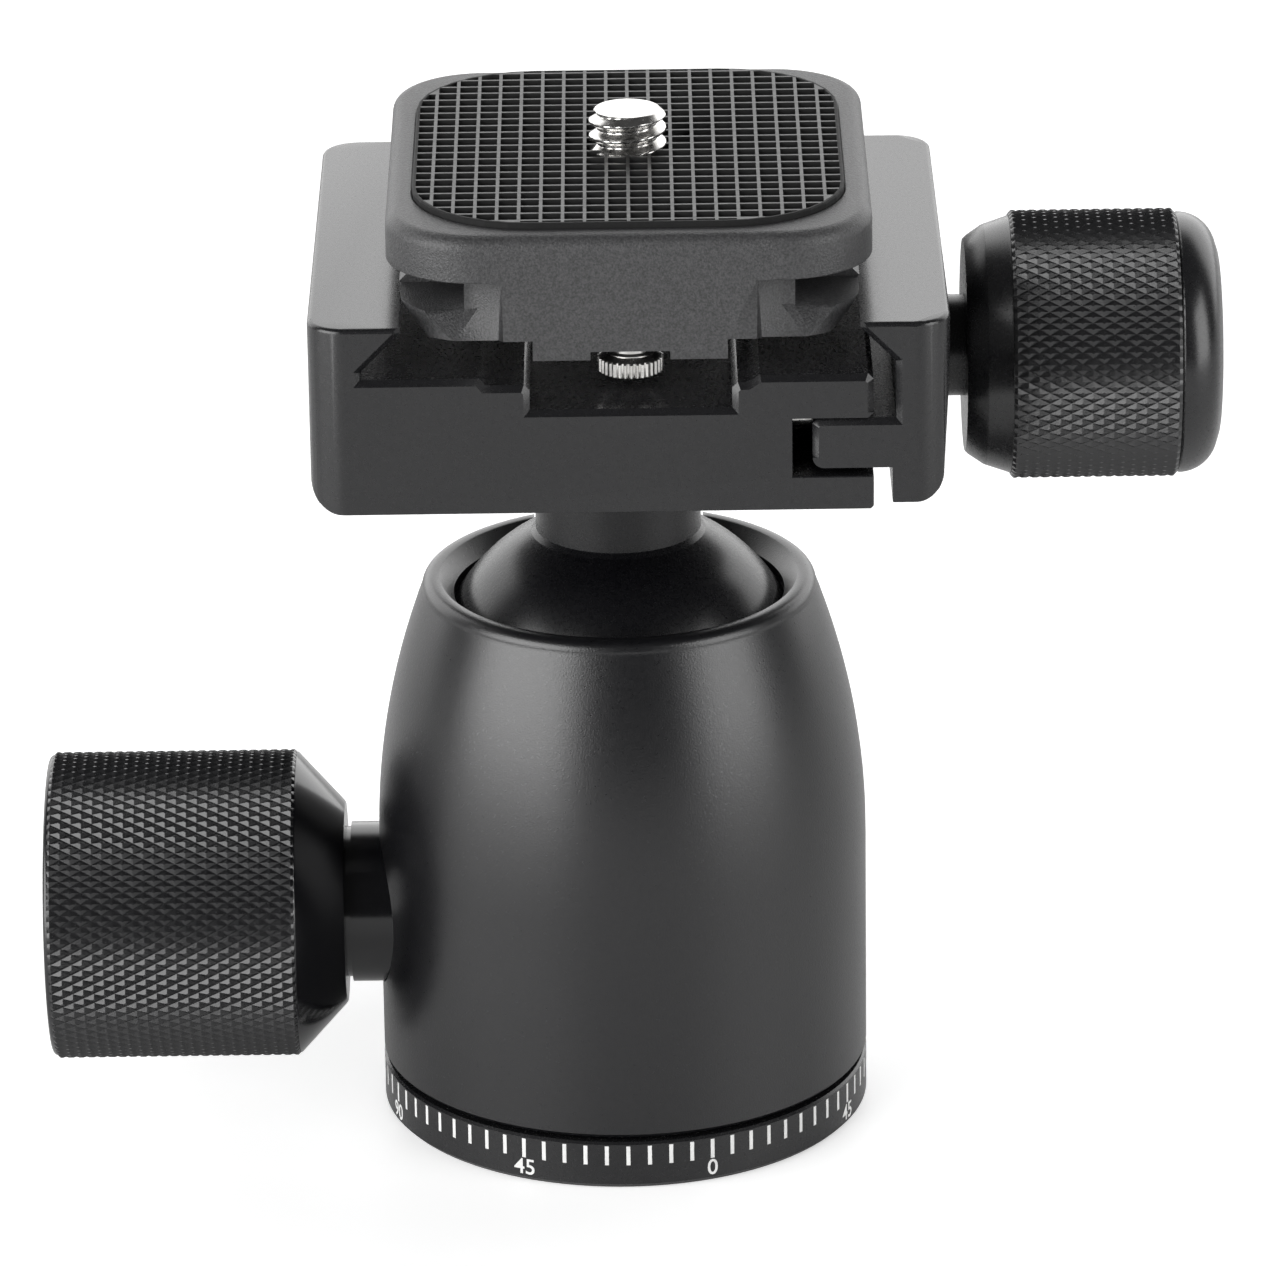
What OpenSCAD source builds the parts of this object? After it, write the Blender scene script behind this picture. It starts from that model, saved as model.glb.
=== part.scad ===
// Ball head for a tripod: panning base, lockable ball, screw clamp and camera plate.
// Origin: centre of the base's underside. +X towards the clamp knob, +Y to the back, +Z up.

/* [Pan base] */
// Radius of the graduated base ring
base_r = 20.6; // [19.5:0.1:23]
// Height of the graduated base ring
base_h = 4.2; // [3.5:0.1:6]
// Gap between the base ring and the housing
pan_gap = 0.35; // [0.3:0.05:0.8]
// Distance from the ring's side in to the spigot that the housing turns on
bearing_w = 8.6; // [8:0.1:9.5]
// Wall radius of the 3/8 inch tripod socket
socket_r = 4.76; // [3.2:0.01:5]
// Depth of the tripod socket
socket_depth = 8.8; // [7:0.1:9.2]

/* [Housing] */
// Height of the rim above the ball's centre
rim_over = 9.5; // [9.3:0.1:10.4]
// Height over which the wall curves in towards the rim
barrel_curve_h = 22.4; // [20:0.1:26]
// Radius of the arc that draws the wall in towards the rim
barrel_arc_r = 62.5; // [60:0.5:75]
// Rounding of the rim's outer edge
rim_round = 1; // [0.5:0.1:1.2]
// Distance from the ball's side in to the mouth's edge
mouth_inset = 1; // [0.9:0.1:1.6]
// Wall between the ball cavity and the barrel
liner_t = 0.85; // [0.6:0.05:1]

/* [Ball] */
// Distance from the barrel's side in to the ball's side
ball_wall = 4.6; // [4.3:0.1:5]
// Height of the ball's lowest point
ball_foot = 20.9; // [20.7:0.1:22]
// Radius of the ball's stem
stem_r = 6.9; // [6:0.1:7.2]
// Sliding clearance round the ball, on the radius
ball_fit = 0.05; // [0.03:0.01:0.1]

/* [Lock knob] */
// Height of the lock knob's axis
lock_z = 17.6; // [17.2:0.1:17.8]
// Radius of the lock knob over its knurl
lock_knob_r = 13; // [11:0.1:14]
// Length of the lock knob's knurled part
lock_knurl_l = 21; // [16:0.2:24]
// Length of the cone between the knurl and the neck
lock_cone_l = 4; // [3:0.1:6]
// Radius of the cone's small end
lock_cone_r = 8.7; // [7.5:0.1:10]
// Radius of the neck
lock_neck_r = 6.8; // [6:0.1:7]
// Free length of the neck, from the housing's side to the cone
lock_neck_free = 2.9; // [2.5:0.1:6]
// Radius of the lock screw
lock_screw_r = 4; // [3:0.1:4]
// Rise of the wedge per millimetre of its length
wedge_rise = 0.24; // [0.2:0.01:0.25]

/* [Pan lock] */
// Radius of the pan lock knob
pan_knob_r = 5.5; // [4.5:0.1:6]
// Length of the pan lock knob
pan_knob_l = 8; // [6:0.5:12]
// Radius of the pan lock screw
pan_screw_r = 1.5; // [1.2:0.1:1.6]

/* [Clamp] */
// Height of the clamp's underside above the rim
clamp_gap = 15.3; // [14:0.1:18]
// Height of the clamp
clamp_h = 15.8; // [15:0.1:17]
// Depth of the clamp, front to back
clamp_d = 48.6; // [44:0.2:54]
// Distance from the stem's axis to the middle of the plate channel
channel_x = 1.2; // [0:0.1:2]
// Half width between the lips, with the jaw where it holds the plate loosely
lip_half = 18.35; // [18.2:0.05:18.4]
// Height of the upright land on each lip
lip_land = 0.5; // [0.3:0.1:0.8]
// Height of the channel's floor above the clamp's underside
floor_h = 11.4; // [11:0.1:11.6]
// Height of the middle groove's floor above the clamp's underside
groove_h = 8.7; // [8.2:0.1:9]
// Width of the middle groove
groove_w = 16.2; // [15.8:0.1:17]
// Thickness of the clamp's side walls at the lips
wall_t = 7.5; // [6.5:0.1:9]
// Corner radius of the clamp seen from above
clamp_corner = 3; // [2:0.1:4]
// Chamfer on the channel's front and back edges
channel_edge = 0.5; // [0.3:0.05:0.55]
// Height of the clamp screw's axis above the clamp's underside
screw_h = 5.3; // [5.2:0.1:5.6]
// Radius of the clamp screw
clamp_screw_r = 2.5; // [2:0.1:2.5]

/* [Clamp knob] */
// Radius of the clamp knob over its knurl
clamp_knob_r = 11.1; // [9:0.1:12]
// Length of the clamp knob's knurled part
clamp_knurl_l = 13.8; // [10:0.2:18]
// Length of the smooth inner end of the clamp knob
clamp_knob_in = 3.7; // [2.5:0.1:5]
// Length of the rounded outer end of the clamp knob
clamp_knob_out = 3.5; // [2.5:0.1:5]
// Radius of the clamp knob's neck
clamp_neck_r = 4.2; // [3.6:0.05:5]
// Free length of the clamp knob's neck
clamp_neck_l = 2; // [1.6:0.1:5]

/* [Plate] */
// Width of the camera plate
plate_w = 39.2; // [38:0.1:42]
// Depth of the camera plate, front to back
plate_d = 44.6; // [40:0.2:48]
// Thickness of the plate's slab
slab_t = 3.85; // [3.5:0.05:5]
// Corner radius of the slab
slab_corner = 7.4; // [6:0.1:10]
// Height of the slab's underside above the foot's underside
waist_h = 4.9; // [4.7:0.05:5.3]
// Half width of the foot's underside
foot_half = 16.1; // [15.8:0.1:16.4]
// Half width of the foot at its ridge
ridge_half = 18.6; // [18.45:0.01:18.7]
// Height of the ridge above the foot's underside
ridge_h = 2.2; // [2.1:0.05:2.4]
// Width of the plate's middle block
block_w = 20.3; // [18:0.1:22]
// Depth of the rib under the plate
rib_h = 1.65; // [1.2:0.05:1.8]
// Thickness of the pad
pad_t = 1.2; // [1:0.1:1.5]
// Height of the pad above the slab
pad_proud = 0.5; // [0.3:0.1:0.8]
// Corner radius of the pad
pad_corner = 9.8; // [6:0.1:12]
// Radius of the quarter-inch camera screw
camera_r = 3.175; // [3.1:0.005:3.3]
// Free length of the camera screw above the pad
camera_l = 3; // [2.5:0.1:5]

/* [Hidden] */
$fn = 96;
eps = 0.01;
edge = 0.4;
fit = 0.05;
gap = 0.3;

// Heights in the pan bearing, from the base ring upwards
spigot_r = base_r - bearing_w;
socket_wall = 2.5;
foot_w = 4.5;
skirt_z = base_h + pan_gap;
carrier_t = 4;
carrier_top = skirt_z + carrier_t;
wave_t = 0.4;
clip_t = 0.8;
clip_z = carrier_top + wave_t + fit;
spigot_top = clip_z + clip_t + 0.6;
floor_z = spigot_top + 0.4;
floor_t = 1.2;
mech_z = floor_z + floor_t;
groove_depth = 0.8;
carrier_r = base_r - 2.5;
washer_r = [spigot_r + 1.5, carrier_r - 0.5];
pan_lock_z = skirt_z + carrier_t / 2;

// Housing
ball_r = base_r - ball_wall;
ball_z = ball_foot + ball_r;
rim_z = ball_z + rim_over;
shoulder_z = rim_z - barrel_curve_h;
mouth_r = ball_r - mouth_inset;
cavity_r = ball_r + ball_fit + liner_t + fit;
liner_drop = 2;
lip_z = rim_z - 1.3;
lip_r = sqrt(pow(ball_r, 2) - pow(lip_z - ball_z, 2)) + 0.17;
arc_x = base_r - barrel_arc_r;
round_z = rim_z - rim_round;
round_x = arc_x + sqrt(pow(barrel_arc_r - rim_round, 2) - pow(round_z - shoulder_z, 2));
round_dir = [round_x - arc_x, round_z - shoulder_z] / (barrel_arc_r - rim_round);
notch_r = stem_r + gap;
neck_seat = base_r - 2.2;
bush_r = lock_screw_r + 1;
boss_r = bush_r + 1.5;
boss_end = cavity_r - 3.5;
bush_end = boss_end - 0.2;

// Ball seat and wedge
cup_z = ball_z - ball_r + 0.7;
cup_h = 4.6;
cup_r = ball_r - 3;
cup_bore = ball_r / 2;
seat_r = ball_r + ball_fit;
block_r = cavity_r - 0.15;
block_foot = mech_z + 1.5;
wedge_half = 9;
wedge_w = 14;
wedge_mid = lock_z - 0.15;
nose_r = 2.5;
thread_start = boss_end - 1;

// Lock knob along its own axis, measured from the stem's axis
lock_cone_x = base_r + lock_neck_free;
lock_knurl_x = lock_cone_x + lock_cone_l;
lock_end_x = lock_knurl_x + lock_knurl_l;
lock_tail_x = lock_knurl_x + 8;
cap_wall = 4;
cap_bore_r = 1.5;
cap_shank_l = 6;

// Pan lock along its own axis
pan_neck_y = base_r + gap + 1.2;
pan_end_y = pan_neck_y + pan_knob_l;

// Clamp, measured from the stem's axis and from the clamp's underside
clamp_z = rim_z + clamp_gap;
lip_left = channel_x - lip_half;
lip_right = channel_x + lip_half;
body_left = lip_left - wall_t;
wall_cut = 3.3;
tongue_x = lip_right + 1.05;
tongue_h = 3.65;
slot_l = 6.5;
slot_x = tongue_x - slot_l;
hook_x = slot_x + 1.6;
hook_round = 0.9;
hook_top = floor_h - tongue_h - 0.1;
hook_foot = hook_top - 4.1;
lower_lip_h = hook_foot - 0.7;
jaw_wall_x = tongue_x + 1.8;
jaw_wall_t = 4.4;
jaw_out_x = jaw_wall_x + jaw_wall_t;
jaw_inner_x = jaw_wall_x - 0.3;
jaw_foot = 0.5;
jaw_draft = 0.5;
draft_h = [2.8, clamp_h - 4];
bottom_round = 2.5;
groove_left = channel_x - groove_w / 2;
groove_right = channel_x + groove_w / 2;
shelf_left = 4;
shelf_right = 2.2;
shelf_drop = 0.6;
shelf_slope = 1;
shelf_h = floor_h - shelf_drop;
long_edge = 0.45;
small_edge = 0.3;
tongue_edge = 0.5;
body_channel = [[lip_left, clamp_h], [lip_left, clamp_h - lip_land],
    [lip_left - wall_cut, clamp_h - lip_land - wall_cut], [lip_left - wall_cut, floor_h],
    [groove_left - shelf_left, floor_h], [groove_left - shelf_left + long_edge, shelf_h],
    [groove_left - long_edge, shelf_h], [groove_left, shelf_h - long_edge], [groove_left, groove_h],
    [groove_right, groove_h], [groove_right, shelf_h - long_edge], [groove_right + long_edge, shelf_h],
    [groove_right + shelf_right - shelf_slope, shelf_h], [groove_right + shelf_right, floor_h],
    [tongue_x - long_edge, floor_h], [tongue_x, floor_h - long_edge],
    [tongue_x, floor_h - tongue_h + tongue_edge]];
jaw_channel = [[hook_x, hook_foot + hook_round], [hook_x, hook_top - long_edge],
    [hook_x + long_edge, hook_top], [jaw_wall_x, hook_top],
    [jaw_wall_x, clamp_h - lip_land - (jaw_wall_x - lip_right)],
    [lip_right, clamp_h - lip_land], [lip_right, clamp_h]];
head_r = 4.8;
head_h = 3.6;
guide_y = 17;
spring_y = 10;
guide_r = 1.4;
guide_z = (hook_top + hook_foot) / 2;
spring_r = 1.35;
spring_wire = 0.22;
pin_grip = 8;
pin_reach = 5;
spring_start = slot_x - 5;
spring_end = hook_x + 4.2;
spring_turns = 7;
screw_tip_x = head_r + 1.8;
screw_grip = 6;

// Clamp knob along its own axis, measured from the stem's axis
knob_neck_x = jaw_out_x - jaw_draft + 0.02;
knob_washer_t = 0.5;
knob_in_x = jaw_out_x + clamp_neck_l;
knob_knurl_x = knob_in_x + clamp_knob_in;
knob_round_x = knob_knurl_x + clamp_knurl_l;
knob_end_x = knob_round_x + clamp_knob_out;
knob_tail_x = knob_knurl_x + screw_grip;
knob_face_r = clamp_knob_r - 3.5;

// Plate, measured from the foot's underside, which rests on the lips
ridge_slope = (ridge_half - foot_half) / ridge_h;
rest_gap = 0.1;
foot_z = clamp_z + clamp_h - (lip_half - foot_half) / ridge_slope + rest_gap;
slab_top = waist_h + slab_t;
pad_top = slab_top + pad_proud;
recess_half = block_w / 2 + 3.1;
foot_toe = 0.4;
foot_setback = 2;
pocket_l = 9;
pad_inset = 2.1;
pad_foot = pad_top - pad_t;
clip_plate_r = 5;
clip_plate_t = 0.5;
head_pocket_r = 7.2;
head_pocket_h = 3.4;
thumb_r = 6.8;
thumb_h = 2.4;
shank_r = camera_r - 0.5;
stop_r = 2.65;
stop_y = plate_d / 2 - 3.8;
stop_foot = rib_h + 2.45;
stop_head_h = 1.9;
stop_neck_r = 1.8;
stop_shank_r = 1.3;
stop_grip = 3.5;
notch_h = 0.7;
notch_half = stop_r + 0.55;

// ---------- shared shapes ----------

// A rectangle with round corners, centred on the origin
module rounded_rect(w, d, r) {
    square([w - 2 * r, d], center = true);
    square([w, d - 2 * r], center = true);
    for (sx = [-1, 1], sy = [-1, 1])
        translate([sx * (w / 2 - r), sy * (d / 2 - r)])
            circle(r);
}

// The waste outside a round corner of radius r, whose corner point is at the origin
module corner_waste(r) {
    difference() {
        translate([-eps, -eps])
            square(r + eps);
        translate([r, r])
            circle(r);
    }
}

// A flat ring
module ring(outer, inner, h) {
    linear_extrude(h)
        difference() {
            circle(outer);
            circle(inner);
        }
}

// A turned shape along +X, from its half profile of [x, radius] points
module turned_x(profile) {
    rotate([90, 0, 90])
        rotate_extrude()
            polygon([for (p = profile) [p[1], p[0]]]);
}

// A round bar along +X from x0 to x1
module bar_x(r, x0, x1) {
    translate([x0, 0, 0])
        rotate([0, 90, 0])
            cylinder(r = r, h = x1 - x0);
}

// A round bar along +Y from y0 to y1
module bar_y(r, y0, y1) {
    translate([0, y0, 0])
        rotate([-90, 0, 0])
            cylinder(r = r, h = y1 - y0);
}

// A prism along Y whose outline is drawn in X and Z
module prism_y(depth) {
    translate([0, depth / 2, 0])
        rotate([90, 0, 0])
            linear_extrude(depth)
                children();
}

// Outline of a slab with soft top edges, w wide and h high
module soft_profile(w, h, soft) {
    translate([-w / 2, 0])
        square([w, h - soft]);
    translate([-w / 2 + soft, 0])
        square([w - 2 * soft, h]);
    for (side = [-1, 1])
        translate([side * (w / 2 - soft), h - soft])
            circle(soft);
}

// A slab with round corners and a soft top edge, from z = 0
module soft_slab(w, d, h, r, soft) {
    prism_y(d - 2 * r)
        soft_profile(w, h, soft);
    rotate(90)
        prism_y(w - 2 * r)
            soft_profile(d, h, soft);
    for (sx = [-1, 1], sy = [-1, 1])
        translate([sx * (w / 2 - r), sy * (d / 2 - r), 0])
            rotate_extrude()
                intersection() {
                    soft_profile(2 * r, h, soft);
                    square([r, h]);
                }
}

// A hexagon socket in a screw head, cut along +Z from z0
module hex_socket(across, z0, depth) {
    translate([0, 0, z0])
        cylinder(r = across / sqrt(3), h = depth, $fn = 6);
}

// ---------- pan base ----------

module base_plate() {
    color("dimgray")
        rotate_extrude()
            difference() {
                union() {
                    polygon([[0, 0], [base_r - edge, 0], [base_r, edge],
                        [base_r, base_h - edge / 2], [base_r - edge / 2, base_h], [0, base_h]]);
                    square([spigot_r, spigot_top]);
                }
                translate([-1, -1])
                    square([socket_r + 1, socket_depth + 1]);
                translate([spigot_r - groove_depth, clip_z - fit])
                    square([groove_depth + 1, clip_t + 2 * fit]);
                translate([socket_r + socket_wall, -1])
                    square([base_r - foot_w - socket_r - socket_wall, 1.5]);
            }
}

module pan_bearing_washer() {
    color("ivory")
        translate([0, 0, base_h])
            ring(washer_r[1], washer_r[0], pan_gap);
}

module pan_wave_washer() {
    color("silver")
        translate([0, 0, carrier_top])
            ring(spigot_r + 3, spigot_r + 0.2, wave_t);
}

module pan_retaining_ring() {
    ring_gap = 5;
    color("silver")
        translate([0, 0, clip_z])
            difference() {
                ring(spigot_r + 2.2, spigot_r - groove_depth + fit, clip_t);
                translate([-ring_gap / 2, 0, -1])
                    cube([ring_gap, spigot_r + 4, clip_t + 2]);
            }
}

// ---------- housing ----------

// Half outline of the barrel, with its curved wall and round rim
module barrel_profile() {
    difference() {
        intersection() {
            union() {
                translate([0, skirt_z])
                    square([base_r, shoulder_z - skirt_z]);
                intersection() {
                    translate([arc_x, shoulder_z])
                        circle(barrel_arc_r, $fn = 360);
                    translate([0, shoulder_z])
                        square([base_r, rim_z - shoulder_z]);
                }
            }
            polygon([[0, skirt_z], [base_r - edge, skirt_z], [base_r, skirt_z + edge],
                [base_r, rim_z], [0, rim_z]]);
        }
        difference() {
            polygon([[round_x, round_z], [round_x, round_z] + 3 * rim_round * round_dir,
                [round_x + 3 * rim_round, rim_z + rim_round], [round_x, rim_z + rim_round]]);
            translate([round_x, round_z])
                circle(rim_round);
        }
    }
}

// Everything inside the barrel: bearing bore, ball cavity and mouth
module barrel_bore() {
    rotate_extrude() {
        translate([0, skirt_z - 1])
            square([carrier_r + fit, mech_z - skirt_z + 1]);
        square([cavity_r, ball_z]);
        intersection() {
            translate([0, ball_z])
                circle(cavity_r);
            translate([0, ball_z - 1])
                square([cavity_r, lip_z - ball_z + 1]);
        }
        polygon([[0, lip_z - eps], [lip_r, lip_z - eps], [lip_r, lip_z],
            [mouth_r, rim_z], [mouth_r, rim_z + 1], [0, rim_z + 1]]);
    }
}

// The notch that lets the stem drop to the horizontal
module drop_notch(r, inside) {
    translate([0, 0, ball_z])
        bar_y(r, inside, base_r + 1);
    translate([-r, inside, ball_z])
        cube([2 * r, base_r + 1 - inside, rim_z]);
}

// Boss inside the barrel for the threaded bush
module bush_boss() {
    intersection() {
        translate([0, 0, lock_z])
            bar_x(boss_r, -base_r + 1, -boss_end);
        translate([-base_r, -base_r, mech_z + fit])
            cube([base_r, 2 * base_r, ball_z]);
        cylinder(r = base_r - 1, h = ball_z);
    }
}

module housing() {
    color("#26272a")
        difference() {
            union() {
                difference() {
                    rotate_extrude()
                        barrel_profile();
                    barrel_bore();
                }
                bush_boss();
            }
            drop_notch(notch_r, ball_r / 2);
            translate([0, 0, lock_z]) {
                bar_x(lock_neck_r + 0.1, -base_r - 1, -neck_seat);
                bar_x(bush_r, -base_r, -boss_end + 1);
            }
            translate([0, 0, pan_lock_z])
                bar_y(pan_screw_r + fit, carrier_r - 1, base_r + 1);
        }
}

module pan_carrier() {
    color("dimgray")
        difference() {
            union() {
                translate([0, 0, skirt_z])
                    ring(carrier_r, spigot_r + fit, carrier_t);
                translate([0, 0, skirt_z])
                    ring(carrier_r, spigot_r + 3.4, floor_z - skirt_z);
            }
            translate([0, 0, pan_lock_z])
                bar_y(pan_screw_r + fit, 1, base_r);
        }
}

module wedge_floor() {
    spanner_r = 1;
    spanner_x = carrier_r * 2 / 3;
    color("silver")
        translate([0, 0, floor_z])
            difference() {
                cylinder(r = carrier_r - fit, h = floor_t);
                for (side = [-1, 1])
                    translate([0, side * spanner_x, -1])
                        cylinder(r = spanner_r, h = floor_t + 2);
            }
}

module lock_bush() {
    color("goldenrod")
        translate([0, 0, lock_z])
            difference() {
                bar_x(bush_r, -neck_seat, -bush_end);
                bar_x(lock_screw_r + fit, -neck_seat - 1, -bush_end + 1);
            }
}

module ball_liner() {
    liner_foot = ball_z + liner_drop;
    color("white")
        difference() {
            rotate_extrude()
                difference() {
                    intersection() {
                        translate([0, ball_z])
                            circle(cavity_r - fit);
                        translate([0, liner_foot])
                            square([cavity_r, lip_z - fit - liner_foot]);
                    }
                    translate([0, ball_z])
                        circle(seat_r);
                }
            drop_notch(notch_r, ball_r / 2);
        }
}

// ---------- pan lock ----------

module pan_brake_shoe() {
    color("goldenrod")
        translate([0, 0, pan_lock_z])
            difference() {
                bar_y(pan_screw_r, spigot_r - 1, carrier_r - 2);
                translate([0, 0, -pan_lock_z])
                    cylinder(r = spigot_r + fit, h = 2 * pan_lock_z);
            }
}

module pan_lock_screw() {
    color("silver")
        translate([0, 0, pan_lock_z])
            bar_y(pan_screw_r, carrier_r - 2, pan_end_y - 2);
}

module pan_lock_knob() {
    neck_r = 3.2;
    bevel = 0.8;
    color("#202124")
        translate([0, 0, pan_lock_z])
            rotate([-90, 0, 0])
                rotate_extrude()
                    difference() {
                        polygon([[0, base_r + gap], [neck_r, base_r + gap], [neck_r, pan_neck_y],
                            [pan_knob_r - bevel, pan_neck_y], [pan_knob_r, pan_neck_y + bevel],
                            [pan_knob_r, pan_end_y - bevel], [pan_knob_r - bevel, pan_end_y],
                            [0, pan_end_y]]);
                        square([pan_screw_r, pan_end_y - 2]);
                    }
}

// ---------- ball lock ----------

module lock_knob() {
    bevel = 0.8;
    dish_r = 8.5;
    dish_h = 1.2;
    color("#202124")
        translate([0, 0, lock_z])
            mirror([1, 0, 0])
                difference() {
                    turned_x([[lock_cone_x, 0], [lock_cone_x, lock_cone_r], [lock_knurl_x, lock_knob_r],
                        [lock_end_x - bevel, lock_knob_r], [lock_end_x, lock_knob_r - bevel],
                        [lock_end_x, 0]]);
                    bar_x(lock_screw_r, lock_cone_x - 1, lock_tail_x);
                    bar_x(dish_r, lock_end_x - dish_h, lock_end_x + 1);
                    bar_x(lock_screw_r + 0.2, lock_tail_x + cap_wall, lock_end_x);
                    bar_x(cap_bore_r + fit, lock_tail_x - 1, lock_end_x);
                }
}

module lock_knob_collar() {
    relief_r = lock_neck_r - 0.4;
    relief_x = lock_cone_x - 0.5;
    color("#151618")
        translate([0, 0, lock_z])
            mirror([1, 0, 0])
                difference() {
                    turned_x([[neck_seat + 0.1, 0], [neck_seat + 0.1, lock_neck_r],
                        [relief_x, lock_neck_r], [relief_x, relief_r],
                        [lock_cone_x, relief_r], [lock_cone_x, 0]]);
                    bar_x(lock_screw_r, neck_seat - 1, lock_cone_x + 1);
                }
}

module lock_screw() {
    color("silver")
        translate([0, 0, lock_z])
            mirror([1, 0, 0])
                difference() {
                    turned_x([[wedge_half + 0.02, 0], [wedge_half + 0.02, nose_r],
                        [thread_start - 0.5, nose_r], [thread_start, lock_screw_r],
                        [lock_tail_x, lock_screw_r], [lock_tail_x, 0]]);
                    bar_x(cap_bore_r, lock_tail_x - cap_shank_l - 1, lock_tail_x + 1);
                }
}

module lock_knob_cap_screw() {
    head = lock_screw_r;
    head_l = 3;
    seat_x = lock_tail_x + cap_wall;
    shank_x = lock_tail_x - cap_shank_l;
    color("silver")
        translate([0, 0, lock_z])
            mirror([1, 0, 0])
                difference() {
                    turned_x([[shank_x, 0], [shank_x, cap_bore_r], [seat_x, cap_bore_r],
                        [seat_x, head], [seat_x + head_l, head], [seat_x + head_l, 0]]);
                    translate([seat_x + head_l - 1.6, 0, 0])
                        rotate([0, 90, 0])
                            hex_socket(3, 0, 2);
                }
}

// The wedge's sloping top, as a half plane below the slope, drawn in X and Z
module below_slope(lift, x0, x1) {
    polygon([[x0, -1], [x1, -1], [x1, wedge_mid + lift - wedge_rise * x1],
        [x0, wedge_mid + lift - wedge_rise * x0]]);
}

module wedge_slider() {
    color("goldenrod")
        intersection() {
            prism_y(wedge_w)
                below_slope(0, -wedge_half, wedge_half);
            translate([-wedge_half, -wedge_w, mech_z + 0.02])
                cube([2 * wedge_half, 2 * wedge_w, ball_z]);
        }
}

module pressure_block() {
    rim_h = 1.4;
    dimple_r = 6.5;
    color("silver")
        difference() {
            translate([0, 0, block_foot])
                cylinder(r = block_r, h = cup_z - block_foot + rim_h);
            translate([0, 0, cup_z])
                cylinder(r = cup_r + fit, h = rim_h + 1);
            translate([0, 0, cup_z - 1])
                cylinder(r = dimple_r, h = 2);
            prism_y(wedge_w + 0.2)
                below_slope(0.02, -base_r, base_r);
            translate([0, 0, lock_z])
                bar_x(nose_r + 0.7, -base_r, -wedge_half + 0.4);
            translate([-base_r, -boss_r - gap, 0])
                cube([base_r - thread_start + 0.6, 2 * (boss_r + gap), ball_z]);
        }
}

module ball_cup() {
    color("ivory")
        difference() {
            translate([0, 0, cup_z + 0.02])
                ring(cup_r, cup_bore, cup_h);
            translate([0, 0, ball_z])
                sphere(seat_r);
        }
}

// ---------- ball ----------

module ball() {
    cone_h = 0.7;
    stem_foot = ball_z + sqrt(pow(ball_r, 2) - pow(stem_r, 2)) - 0.5;
    color("#2b2c2f")
        difference() {
            union() {
                translate([0, 0, ball_z])
                    sphere(ball_r);
                translate([0, 0, stem_foot])
                    cylinder(r = stem_r, h = clamp_z - 0.05 - stem_foot);
                translate([0, 0, stem_foot])
                    cylinder(r1 = stem_r + cone_h, r2 = stem_r, h = cone_h);
            }
            translate([0, 0, ball_z + 8])
                cylinder(r = 3, h = clamp_z);
        }
}

// ---------- clamp ----------

// Outline of the fixed half, in X and Z from its underside
module body_profile() {
    difference() {
        polygon(concat([[body_left, clamp_h]], body_channel,
            [[tongue_x - tongue_edge, floor_h - tongue_h], [slot_x, floor_h - tongue_h],
            [slot_x, lower_lip_h], [tongue_x, lower_lip_h], [tongue_x, small_edge],
            [tongue_x - small_edge, 0], [body_left, 0]]));
        translate([body_left, 0])
            corner_waste(bottom_round);
    }
}

// Outline of the sliding jaw with its hook, in X and Z from the clamp's underside
module jaw_profile() {
    difference() {
        polygon(concat([[hook_x, hook_foot]], jaw_channel, [[jaw_out_x, clamp_h],
            [jaw_out_x, draft_h[1]], [jaw_out_x - jaw_draft, draft_h[0]],
            [jaw_out_x - jaw_draft, jaw_foot], [jaw_inner_x, jaw_foot], [jaw_inner_x, hook_foot]]));
        translate([hook_x, hook_foot])
            corner_waste(hook_round);
        translate([jaw_out_x - jaw_draft, jaw_foot])
            mirror([1, 0])
                corner_waste(bottom_round - small_edge);
    }
}

// The block that both halves are cut from, with round corners and a soft top edge
module clamp_block() {
    translate([(body_left + jaw_out_x) / 2, 0, 0])
        soft_slab(jaw_out_x - body_left, clamp_d, clamp_h, clamp_corner, edge);
}

// Waste along a front edge from p to q, with the metal on its right
module edge_waste(p, q, over, reach) {
    run = q - p;
    translate([p[0], -clamp_d / 2, p[1]])
        rotate([0, -atan2(run[1], run[0]), 0])
            translate([-reach, 0, 0])
                rotate([90, 0, 90])
                    linear_extrude(norm(run) + 2 * reach)
                        polygon([[-1, -channel_edge - 1], [channel_edge + over, over], [-1, over]]);
}

// Chamfers along the front and back edges of a channel outline, mitred where it turns
module channel_edges(path) {
    for (turn_y = [0, 1])
        mirror([0, turn_y, 0]) {
            for (i = [1 : len(path) - 1])
                edge_waste(path[i - 1], path[i], 0.1, 0);
            for (i = [1 : len(path) - 2])
                intersection() {
                    edge_waste(path[i - 1], path[i], 0, channel_edge);
                    edge_waste(path[i], path[i + 1], 0, channel_edge);
                }
        }
}

// Bores for the jaw's pins and springs, along X
module jaw_bores(r_pin, r_spring, x0, x1, spring_x0, spring_x1) {
    for (side = [-1, 1]) {
        translate([0, side * guide_y, guide_z])
            bar_x(r_pin, x0, x1);
        translate([0, side * spring_y, guide_z])
            bar_x(r_spring, spring_x0, spring_x1);
    }
}

module clamp_body() {
    color("#26272a")
        translate([0, 0, clamp_z])
            difference() {
                intersection() {
                    prism_y(clamp_d)
                        body_profile();
                    clamp_block();
                }
                channel_edges(body_channel);
                translate([0, 0, groove_h - head_h])
                    cylinder(r = head_r + 0.1, h = clamp_h);
                translate([0, 0, -1])
                    cylinder(r = 3 + fit, h = clamp_h);
                translate([0, 0, screw_h])
                    bar_x(clamp_screw_r + fit, screw_tip_x - 0.6, jaw_wall_x);
                jaw_bores(guide_r, spring_r + 2 * spring_wire, slot_x - pin_grip, slot_x + 1,
                    spring_start, slot_x + 1);
            }
}

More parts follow.
